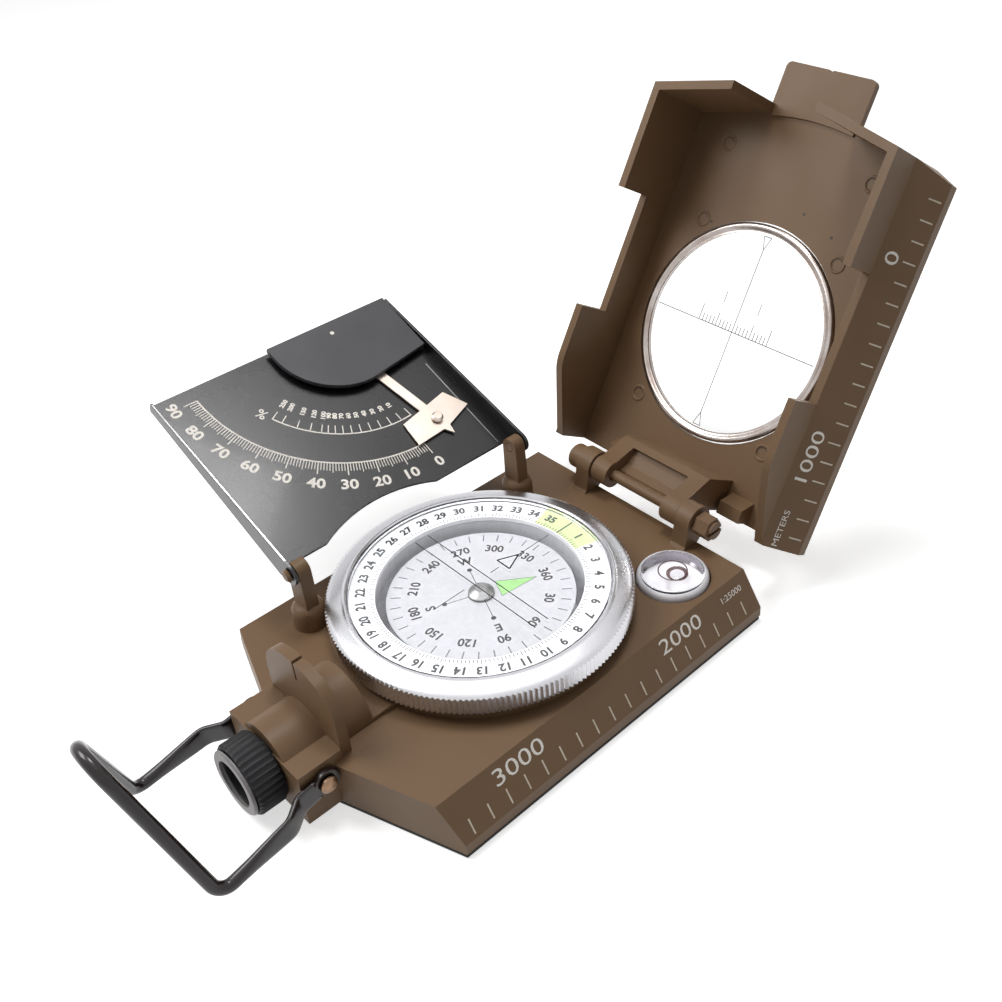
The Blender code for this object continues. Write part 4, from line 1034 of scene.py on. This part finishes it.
@dataclass
class Dial:
    """The turning bezel with its azimuth ring and crystal, over the floating card."""

    card_top: float = 13.2
    card_north: float = 67.5
    tick_r: float = 16.85
    tick_length: float = 1.9
    figure_r: float = 12.8
    letter_r: float = 9.8
    dot_r: float = 7.1
    hub_r: float = 2.5
    arrow_foot: float = 4.0
    arrow_tip: float = 11.0
    ring_top: float = 15.8
    ring_inner: float = 19.3
    ring_outer: float = 24.0
    ring_figure_r: float = 22.0
    ring_inset: float = 0.15
    crystal_top: float = 17.0
    sight_half: float = 1.5
    bezel_bottom: float = 12.2
    knurl_top: float = 16.2
    bezel_r: float = 28.4
    lip_r: float = 25.1
    lip_inner: float = 24.4
    lip_top: float = 17.4
    shelf_top: float = 14.6
    bore_r: float = 21.7
    teeth: int = 186
    tooth_depth: float = 0.42

    def dress(self) -> None:
        """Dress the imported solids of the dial."""
        keep(DIAL_WHITE, "azimuth_ring")
        keep(GLASS, "crystal")
        keep(CARD_WHITE, "card_disc")
        keep(STEEL, "card_hub")
        keep(MAGNET, "card_magnet")

    def build(self) -> None:
        """Build the fine bezel and print the dial."""
        self.bezel()
        self.azimuth()
        self.crystal()
        self.card()

    def bezel(self) -> None:
        """Cut the bezel with its fine straight teeth."""
        soft, bevel = 0.25, 0.55
        inner, lip, outer, bore = self.lip_inner, self.lip_r, self.bezel_r, self.bore_r
        top, knurl, shelf, low = self.lip_top, self.knurl_top, self.shelf_top, self.bezel_bottom
        profile = [
            (inner, top - soft), (inner + soft, top), (lip - soft, top), (lip, top - soft),
            (lip + 0.3, knurl + 0.9), (outer - 1.2, knurl + 0.35), (outer - bevel, knurl + 0.1),
            (outer, knurl - 0.3), (outer, low + 0.35), (outer - bevel, low), (bore, low),
            (bore, shelf), (inner, shelf),
        ]
        ring = spun("bezel_fine", profile, 2 * self.teeth, teeth=self.tooth_depth)
        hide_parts("bezel_ring")
        hang(ring, TURNED, Body.BEZEL)

    def azimuth(self) -> None:
        """Print the outer ring, figures clockwise in tens of degrees."""
        start = self.ring_inner + self.ring_inset
        glow = Print("azimuth_glow", level(self.ring_top))
        glow.ring(CENTRE, start, self.ring_outer, first=72.0, last=106.0, steps=14)
        glow.done(PALE_GREEN, Body.BEZEL)
        marks = Print("azimuth_figures", level(self.ring_top + LIFT))
        for number in range(1, 36):
            angle = 90.0 - 10.0 * number
            at = on_circle(self.ring_figure_r, angle)
            marks.words(str(number), at, 1.9, angle - 90.0, stretch=0.95, weight=0.04)
        margin, bold, thin = 0.2, 0.32, 0.15
        low, high = self.ring_inner + margin, self.ring_outer - margin
        marks.stroke(on_circle(low, -270.0), on_circle(high, -270.0), bold)
        short, tall = 0.8, 1.1
        for i in range(180):
            end = start + (tall if i % 5 == 0 else short)
            marks.stroke(on_circle(start, 2.0 * i), on_circle(end, 2.0 * i), thin)
        marks.done(BLACK_INK, Body.BEZEL)

    def crystal(self) -> None:
        """Print the sighting lines and the index arrow on the crystal."""
        lines = Print("crystal_lines", level(self.crystal_top))
        bold, plain, thin = 0.3, 0.2, 0.16
        for side in (-self.sight_half, self.sight_half):
            lines.stroke((-17.0, side), (16.6, side), plain)
        lines.outline([(-1.75, 5.8), (1.75, 5.8), (0.0, 9.65)], bold)
        for low, high in ((9.6, 17.5), (2.65, 4.75), (-10.6, -3.7)):
            lines.stroke((0.0, low), (0.0, high), thin)
        lines.done(BLACK_INK, Body.BEZEL)

    def card(self) -> None:
        """Print the floating card about its own north."""
        north = self.card_north
        marks = Print("card_figures", level(self.card_top))
        for degrees in range(30, 390, 30):
            angle = north - degrees
            at = on_circle(self.figure_r, angle)
            marks.words(str(degrees), at, 1.95, angle - 90.0, stretch=0.95, weight=0.03)
        for letter, degrees in (("E", 90), ("S", 180), ("W", 270)):
            angle = north - degrees
            dot = on_circle(self.dot_r, angle)
            at = on_circle(self.letter_r, angle)
            marks.words(letter, at, 1.9, angle - 90.0, weight=0.03)
            marks.disc(dot, 0.48)
            marks.stroke(on_circle(self.hub_r, angle), dot, 0.14)
        marks.done(BLACK_INK, Body.CARD)
        ticks = Print("card_ticks", level(self.card_top))
        for i in range(36):
            angle = north - 10.0 * i
            inner = on_circle(self.tick_r - self.tick_length, angle)
            ticks.stroke(inner, on_circle(self.tick_r, angle), 0.24)
        ticks.ring(CENTRE, self.hub_r - 0.45, self.hub_r)
        corners = [
            on_circle(self.arrow_foot, north - 33.0),
            on_circle(self.arrow_tip, north + 0.5),
            on_circle(self.arrow_foot, north + 32.0),
        ]
        ticks.outline(corners, 0.12)
        ticks.done(GREY_INK, Body.CARD)
        arrow = Print("card_arrow", level(self.card_top - LIFT / 2))
        arrow.patch(corners)
        arrow.done(LUMINOUS, Body.CARD)


@dataclass
class Lid:
    """The lid casting with its ruler, its lens and the marks of its mould."""

    hinge: Place = (0.0, 41.66, 15.0)
    opening: float = 58.67
    ruler_foot: Place = (33.3, 0.0, -12.3)
    ruler_slope: Place = (-4.9, 0.0, 7.3)
    floor: float = -13.4
    lens_y: float = 35.33
    lens_top: float = -13.2
    ring_inner: float = 20.9
    ring_outer: float = 22.9
    web_start: float = -5.85
    web_width: float = 14.9
    scale_step: float = 0.88

    def frame(self) -> Matrix:
        """Give the matrix from the lid's own coordinates to the row's."""
        return hinged(self.hinge, self.opening, "X")

    def dress(self) -> None:
        """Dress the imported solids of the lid."""
        keep(PAINT, "lid_casting", rounding=0.3)
        keep(GLASS, "lens_glass")

    def build(self) -> None:
        """Print the ruler and the reticle, and leave the mould's marks."""
        slope = self.frame() @ plane(self.ruler_foot, NORTH, self.ruler_slope)
        Ruler("lid_ruler", slope, Body.LID, first=3.57, step=4.0).build(
            ("0", 59.45, 2.8, 1.4), ("1000", 19.95, 2.7, 1.5), ("METERS", 4.9, 1.25, 1.25)
        )
        self.web_lip()
        self.lens_bead()
        self.reticle()
        self.mould_marks()

    def web_lip(self) -> None:
        """Carry the bracket's web up to the hinge rod."""
        outline = [(0.7, -2.3), (0.7, -1.35), (1.3, -1.35), (2.8, -2.9)]
        side = self.frame() @ plane((self.web_start, 0.0, 0.0), NORTH, UP)
        hang(slab("web_lip", outline, side, self.web_width), PAINT, Body.LID)

    def lens_bead(self) -> None:
        """Turn the lens's rounded metal ring."""
        inner, outer = self.ring_inner, self.ring_outer
        low, high = self.lens_top - 1.1, self.lens_top + 0.4
        drops = [
            (outer, 0.55), (22.75, 0.25), (22.45, 0.05), (22.1, 0.0), (21.75, 0.1), (21.4, 0.35),
            (21.1, 0.4), (inner, 0.35),
        ]
        profile = [(inner, low), (outer, low), *((r, high - drop) for r, drop in drops)]
        ring = spun("lens_bead", profile, 120, self.frame() @ shift(0.0, self.lens_y, 0.0))
        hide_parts("lens_ring")
        hang(ring, LENS_METAL, Body.LID)

    def reticle(self) -> None:
        """Print the lens's cross lines, arrow heads and tick scale."""
        lines = Print("lens_reticle", self.frame() @ level(self.lens_top, self.lens_y))
        thin, fine = 0.17, 0.16
        lines.stroke((-20.2, 0.0), (20.4, 0.0), thin)
        lines.stroke((0.0, -18.0), (0.0, 17.8), thin)
        for end in (-1, 1):
            foot = end * 20.5
            lines.outline([(0.0, end * 17.8), (0.93, foot), (-0.93, foot)], fine)
        for i in range(-10, 11):
            at = self.scale_step * i
            lines.stroke((at, 0.0), (at, {10: 3.4, 5: 2.9}.get(abs(i), 1.7)), thin)
        for at in (-5 * self.scale_step, 5 * self.scale_step):
            lines.stroke((at, 5.0), (at, 7.6), fine)
        lines.done(RETICLE, Body.LID)

    def mould_marks(self) -> None:
        """Leave the faint rings of the mould's pins, and paint shade in three pits on the tray's
        floor and inside one side of each pin ring.
        """
        spots = [(x, y) for x in (-16.9, 16.9) for y in (15.4, 55.2)]
        spots += [(-17.5, 71.5), (17.5, 71.5)]
        profile = [(1.2, 0.0), (1.4, 0.22), (1.62, 0.22), (1.82, 0.0), (1.5, -0.05)]
        for i, spot in enumerate(spots):
            mark = spun(f"pin_mark_{i}", profile, 40, self.frame() @ shift(*spot, self.floor))
            hang(mark, PAINT, Body.LID)
        # Painted shade: dark dots for the pits and dark crescents where each pin ring shades the
        # floor inside it.
        pit_shade_print = Print("painted_pit_shade", self.frame() @ level(self.floor))
        for spot in ((-14.7, 55.05), (5.8, 62.3), (13.5, 59.7)):
            pit_shade_print.disc(spot, 0.34, steps=14)
        for spot in spots:
            pit_shade_print.ring(spot, 0.98, 1.2, 20.0, 215.0, steps=26)
        pit_shade_print.done(PIT_SHADE, Body.LID)


@dataclass
class Clinometer:
    """The fold-out plate with its printed scales, its cover and its pendulum."""

    hinge: Place = (-20.6, 1.7, 23.0)
    tilt: float = 24.26
    face: float = -2.5
    cover_top: float = -0.4
    swing: Point = (-43.0, 12.0)
    degree_r: float = 31.7
    figure_r: float = 36.7
    percent_r: float = 24.8
    percent_lag: float = 5.0
    percent_sign: float = 68.5
    percents: tuple[int, ...] = (*range(0, 110, 10), 120, 150, 200, 250)
    fold_tip: Place = (-45.7, -27.9, -0.9)
    fold_slope: Place = (45.36, 0.0, 3.07)
    bend_y: float = 25.3

    def frame(self) -> Matrix:
        """Give the matrix from the plate's own coordinates to the row's."""
        return hinged(self.hinge, self.tilt, "Y")

    def at(self, radius: float, degrees: float) -> Point:
        """Give a point of the scales, counted from the dial's side."""
        return on_circle(radius, -degrees, self.swing)

    def dress(self) -> None:
        """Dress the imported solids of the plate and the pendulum."""
        keep(PLATE_BLACK, "clinometer_plate", rounding=0.12)
        keep(COVER_GREY, "clinometer_cover", rounding=0.15)
        keep(STEEL, "pendulum_pin")
        keep(CREAM, "pendulum_arm", rounding=0.08)
        keep(CREAM, "pendulum_rivet")

    def build(self) -> None:
        """Print both scales, the cover's dot and the painted highlights on the folds."""
        flat = self.frame() @ level(self.face)
        self.degrees(flat)
        self.percent(flat)
        dot = Print("cover_dot", self.frame() @ level(self.cover_top))
        dot.disc(self.swing, 0.45)
        dot.done(PALE_INK, Body.CLINOMETER)
        self.painted_fold_highlights(flat)

    def degrees(self, flat: Matrix) -> None:
        """Print the slope scale in degrees.

        Args:
            flat: The plate's drawing plane.
        """
        scale = Print("plate_degrees", flat)
        half_line, bold, thin = 0.15, 0.22, 0.16
        tens, fives, ones = 2.9, 2.3, 1.9
        inner, outer = self.degree_r - half_line, self.degree_r + half_line
        scale.ring(self.swing, inner, outer, -90.0, 0.0, steps=60)
        for degree in range(91):
            reach = tens if degree % 10 == 0 else fives if degree % 5 == 0 else ones
            width = bold if degree % 10 == 0 else thin
            end = self.at(self.degree_r + reach, degree)
            scale.stroke(self.at(self.degree_r, degree), end, width)
        for degree in range(0, 100, 10):
            middle = self.at(self.figure_r, degree)
            scale.words(str(degree), middle, 2.35, 90.0 - degree, stretch=1.15, weight=0.03)
        scale.done(PALE_INK, Body.CLINOMETER)

    def percent(self, flat: Matrix) -> None:
        """Print the slope scale in percent.

        Args:
            flat: The plate's drawing plane.
        """
        scale = Print("plate_percent", flat)
        reach, lag = self.percent_r, self.percent_lag
        line, tick, inset, thin = 0.28, 2.2, 4.6, 0.2
        steepest = math.degrees(math.atan(self.percents[-1] / 100))
        scale.ring(self.swing, reach - line, reach, lag - steepest, lag, steps=48)
        for percent in self.percents:
            degree = math.degrees(math.atan(percent / 100)) - lag
            scale.stroke(self.at(reach, degree), self.at(reach - tick, degree), thin)
            if percent:
                middle = self.at(reach - inset, degree)
                scale.words(str(percent), middle, 1.0, 180.0 - degree, 1.15, weight=0.05)
        sign = self.percent_sign
        scale.words("%", self.at(reach, sign), 2.2, 90.0 - sign, weight=0.01)
        scale.done(PALE_INK, Body.CLINOMETER)

    def painted_fold_highlights(self, flat: Matrix) -> None:
        """Paint highlights as bright steel lines on top of the near folded edge and in the far
        bend.

        Args:
            flat: The plate's drawing plane.
        """
        top = self.frame() @ plane(self.fold_tip, self.fold_slope, NORTH)
        # Painted highlights: steel-coloured lines where light catches the folds.
        for name, matrix, start, end, width in (
            ("fold_highlight_near", top, (0.4, 0.0), (44.0, 0.0), 0.3),
            ("bend_highlight_far", flat, (-27.6, self.bend_y), (-3.4, self.bend_y), 0.22),
        ):
            line = Print(name, matrix)
            line.stroke(start, end, width)
            line.done(STEEL, Body.CLINOMETER)


@dataclass
class Eyepiece:
    """The ribbed eyepiece at the rear end."""

    mouth: Place = (0.0, -47.4, 8.1)
    ring_r: float = 6.7
    bore_r: float = 4.4
    sleeve_r: float = 5.0
    low: float = 0.3
    high: float = 5.5
    sleeve_end: float = -6.0
    chamfer: float = 0.5
    ribs: int = 38
    rib_depth: float = 0.42

    def dress(self) -> None:
        """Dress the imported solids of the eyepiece."""
        keep(RIM_GREY, "eyepiece_rim")
        keep(GLASS, "eyepiece_lens")

    def build(self) -> None:
        """Cut the barrel with its fine ribs."""
        root = self.ring_r - self.rib_depth
        profile = [
            (self.bore_r, self.high), (root, self.high),
            (self.ring_r, self.high - self.chamfer), (self.ring_r, self.low + self.chamfer),
            (root, self.low), (self.sleeve_r, self.low),
            (self.sleeve_r, self.sleeve_end), (self.bore_r, self.sleeve_end),
        ]
        place = hinged(self.mouth, 90.0, "X")
        barrel = spun("eyepiece_ribbed", profile, 2 * self.ribs, place, self.rib_depth)
        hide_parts("eyepiece_barrel")
        hang(barrel, CHARCOAL, Body.EYEPIECE)


def rounded(points: Sequence[Vector], radii: Sequence[float], steps: int = 10) -> list[Vector]:
    """Round the inner corners of a path.

    Args:
        points: The path's corners, with its two ends.
        radii: The radius at each inner corner.
        steps: How many pieces each bend has.

    Returns:
        The path with round bends.
    """
    path = [points[0]]
    for before, corner, after, radius in zip(points, points[1:], points[2:], radii):
        back = (before - corner).normalized()
        ahead = (after - corner).normalized()
        half = back.angle(ahead) / 2
        centre = corner + (back + ahead).normalized() * radius / math.sin(half)
        run = radius / math.tan(half)
        start = (corner + back * run - centre).normalized()
        end = (corner + ahead * run - centre).normalized()
        path += [centre + start.slerp(end, i / steps) * radius for i in range(steps + 1)]
    path.append(points[-1])
    return path


def mirrored(points: Sequence[Vector]) -> list[Vector]:
    """Give points mirrored in the middle plane."""
    return [Vector((-p.x, p.y, p.z)) for p in points]


@dataclass
class Bail:
    """The bent wire bail, its ends flattened and pierced for the rivets."""

    pivot: Place = (0.0, -43.2, 8.9)
    droop: float = 10.5
    wire_r: float = 1.15
    eye_x: float = 11.1
    eye_r: float = 2.45
    hole_r: float = 1.05
    half_thick: float = 0.5
    half_width: float = 13.8
    reach: float = 22.3
    apex: float = 36.7
    lean: float = 5.0
    flat_end: float = 7.0
    flat_fade: float = 19.0
    flat_half: float = 2.15
    squareness: float = 0.45
    piece_length: float = 0.8
    sides: int = 20

    def frame(self) -> Matrix:
        """Give the matrix from the bail's own coordinates to the row's."""
        return hinged(self.pivot, self.droop, "X")

    def half_route(self) -> list[Vector]:
        """Lay the wire's middle line over its right half.

        Returns:
            Points from its end to the loop's tip.
        """
        lean = math.radians(self.lean)
        tip = Vector((0.0, -self.reach - self.apex * math.sin(lean), self.apex * math.cos(lean)))
        side = [
            Vector((self.eye_x, -1.6, 0.0)),
            Vector((self.eye_x, -5.2, 0.0)),
            Vector((self.half_width - 0.4, -8.4, 0.0)),
            Vector((self.half_width, -self.reach, 0.0)),
        ]
        bends = [2.4, 3.2, 2.6, 5.0, 2.6, 3.2, 2.4]
        whole = rounded([*side, tip, *mirrored(side[::-1])], bends)
        half = whole[: len(whole) // 2 + 1]
        fine = [half[0]]
        for start, end in zip(half, half[1:]):
            pieces = max(1, round((end - start).length / self.piece_length))
            fine += [start.lerp(end, (i + 1) / pieces) for i in range(pieces)]
        return fine

    def section(self, along: float) -> tuple[float, float, float]:
        """Give the wire's form at a distance from its end.

        Args:
            along: The distance.

        Returns:
            Its half height, its half thickness and how round it is.
        """
        share = min(max((along - self.flat_end) / (self.flat_fade - self.flat_end), 0.0), 1.0)
        share = share * share * (3.0 - 2.0 * share)
        return (
            self.flat_half + (self.wire_r - self.flat_half) * share,
            self.half_thick + (self.wire_r - self.half_thick) * share,
            self.squareness + (1.0 - self.squareness) * share,
        )

    def build(self) -> None:
        """Bend the wire and pierce its eyes."""
        rings = self.half_rings()
        rings += [mirrored(ring) for ring in rings[-2::-1]]
        mesh = bmesh.new()
        rows = [[mesh.verts.new(p * MM) for p in ring] for ring in rings]
        for here, there in zip(rows, rows[1:]):
            for k in range(self.sides):
                n = (k + 1) % self.sides
                mesh.faces.new((here[k], here[n], there[n], there[k]))
        mesh.faces.new(rows[0])
        mesh.faces.new(rows[-1])
        bmesh.ops.recalc_face_normals(mesh, faces=mesh.faces)
        wire = settle("bail_bent_wire", mesh, self.frame())
        wire.data.shade_smooth()
        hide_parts("bail_wire")
        hang(wire, ENAMEL, Body.BAIL)
        self.eyes()

    def half_rings(self) -> list[list[Vector]]:
        """Lay the wire's cross sections over its right half.

        Returns:
            Rings of points from its end to the loop's tip.
        """
        route = self.half_route()
        up = Vector(UP)
        along = 0.0
        rings = []
        for i, middle in enumerate(route):
            ahead = route[min(i + 1, len(route) - 1)] - route[max(i - 1, 0)]
            if i == len(route) - 1:
                ahead = -Vector(EAST)
            ahead.normalize()
            up = (up - ahead * up.dot(ahead)).normalized()
            side = ahead.cross(up)
            along += (middle - route[max(i - 1, 0)]).length
            high, thick, power = self.section(along)
            ring = []
            for k in range(self.sides):
                tall, wide = on_circle(1.0, 360.0 * k / self.sides)
                tall = math.copysign(abs(tall) ** power, tall)
                wide = math.copysign(abs(wide) ** power, wide)
                ring.append(middle + up * high * tall + side * thick * wide)
            rings.append(ring)
        return rings

    def eyes(self) -> None:
        """Pierce the flattened ends for the rivets."""
        soft, thick = 0.12, self.half_thick
        upper = [
            (self.hole_r, thick - soft),
            (self.hole_r + soft, thick),
            (self.eye_r - soft, thick),
            (self.eye_r, thick - soft),
        ]
        profile = upper + [(r, -z) for r, z in reversed(upper)]
        for name, x in (("left", -self.eye_x), ("right", self.eye_x)):
            place = self.frame() @ hinged((x, 0.0, 0.0), 90.0, "Y")
            hang(spun(f"bail_eye_{name}", profile, 40, place), ENAMEL, Body.BAIL)


@dataclass
class Studio:
    """The pale floor, the soft lamps and the camera, in metres."""

    eye: Place = (0.12956, -0.09549, 0.1589)
    turn: Place = (2.067, 0.841, -0.490)
    focal: float = 1160.40
    centre: Point = (569.55, 448.50)
    image: float = 1002.0
    sensor: float = 36.0
    near: float = 0.005
    sky: float = 0.18
    floor_half: float = 0.9
    floor_drop: float = 0.05 * MM
    floor_tone: float = 0.9
    floor_glow: float = 0.62
    aim: Place = (0.0, 0.02, 0.02)

    def build(self) -> None:
        """Set the camera, the floor and the lamps."""
        self.camera()
        self.floor()
        self.world()
        self.lamp("ceiling", (0.0, 0.1, 1.3), size=1.2, power=1.4)
        self.lamp("sheen", (-0.08, 0.1, 0.6), size=0.15, power=1.05)
        self.lamp("key", (-0.22, -0.18, 0.36), size=0.2, power=0.95)
        bpy.context.scene.view_settings.view_transform = "Standard"

    def camera(self) -> None:
        """Place the camera where the photograph was taken."""
        axis = Vector(self.turn)
        seen = Matrix.Rotation(axis.length, 3, axis.normalized())
        facing = seen.transposed() @ Matrix.Diagonal((1.0, -1.0, -1.0))
        data = bpy.data.cameras.new("photo_camera")
        data.sensor_width = self.sensor
        data.lens = self.sensor * self.focal / self.image
        data.shift_x = (self.image / 2 - self.centre[0]) / self.image
        data.shift_y = (self.centre[1] - self.image / 2) / self.image
        data.clip_start = self.near
        obj = bpy.data.objects.new("photo_camera", data)
        obj.matrix_world = Matrix.Translation(self.eye) @ facing.to_4x4()
        bpy.context.scene.collection.objects.link(obj)
        bpy.context.scene.camera = obj

    def floor(self) -> None:
        """Lay the pale floor."""
        mesh = bmesh.new()
        bmesh.ops.create_grid(mesh, x_segments=2, y_segments=2, size=self.floor_half)
        obj = settle("floor", mesh)
        obj.location.z = -self.floor_drop
        paper = bpy.data.materials.new("white paper")
        paper.use_nodes = True
        wiring = Wiring(paper.node_tree)
        pale = (self.floor_tone, self.floor_tone, self.floor_tone, 1.0)
        shader = wiring.node("ShaderNodeBsdfDiffuse", {"Color": pale})
        share = wiring.span(self.seen(wiring), 0.0, 1.0, (0.0, self.floor_glow))
        glow = wiring.node("ShaderNodeEmission", {"Strength": share})
        parts = {0: shader.outputs["BSDF"], 1: glow.outputs["Emission"]}
        both = wiring.node("ShaderNodeAddShader", parts)
        wiring.node("ShaderNodeOutputMaterial", {"Surface": both.outputs[0]})
        obj.data.materials.append(paper)

    @staticmethod
    def seen(wiring: Wiring) -> Socket:
        """Give a mask of the rays that look at a surface, straight or by metal and glass.

        Args:
            wiring: The wiring of the surface.

        Returns:
            The mask.
        """
        path = wiring.node("ShaderNodeLightPath").outputs
        direct = wiring.maths("MAXIMUM", path["Is Camera Ray"], path["Is Glossy Ray"])
        return wiring.maths("MAXIMUM", direct, path["Is Transmission Ray"])

    def world(self) -> None:
        """Light the scene from a plain sky that looks white."""
        world = bpy.data.worlds.new("studio")
        bpy.context.scene.world = world
        world.use_nodes = True
        wiring = Wiring(world.node_tree)
        strength = wiring.span(self.seen(wiring), 0.0, 1.0, (self.sky, 1.0))
        feeds = {"Color": (1.0, 1.0, 1.0, 1.0), "Strength": strength}
        light = wiring.node("ShaderNodeBackground", feeds)
        wiring.node("ShaderNodeOutputWorld", {"Surface": light.outputs["Background"]})

    def lamp(self, name: str, place: Place, size: float, power: float) -> None:
        """Hang a square soft lamp that faces the compass.

        Args:
            name: Its name.
            place: Where it hangs.
            size: Its side.
            power: Its watts.
        """
        data = bpy.data.lights.new(name, "AREA")
        data.size = size
        data.energy = power
        obj = bpy.data.objects.new(name, data)
        facing = (Vector(self.aim) - Vector(place)).to_track_quat("-Z", "Y")
        obj.matrix_world = Matrix.Translation(place) @ facing.to_matrix().to_4x4()
        bpy.context.scene.collection.objects.link(obj)


def main() -> None:
    """Build and dress the compass, then set up the studio."""
    logging.basicConfig(level=logging.INFO, format="%(name)s: %(message)s")
    for part in (Base(), Dial(), Lid(), Clinometer(), Eyepiece()):
        part.dress()
        part.build()
    Bail().build()
    Studio().build()


if __name__ == "__main__":
    main()
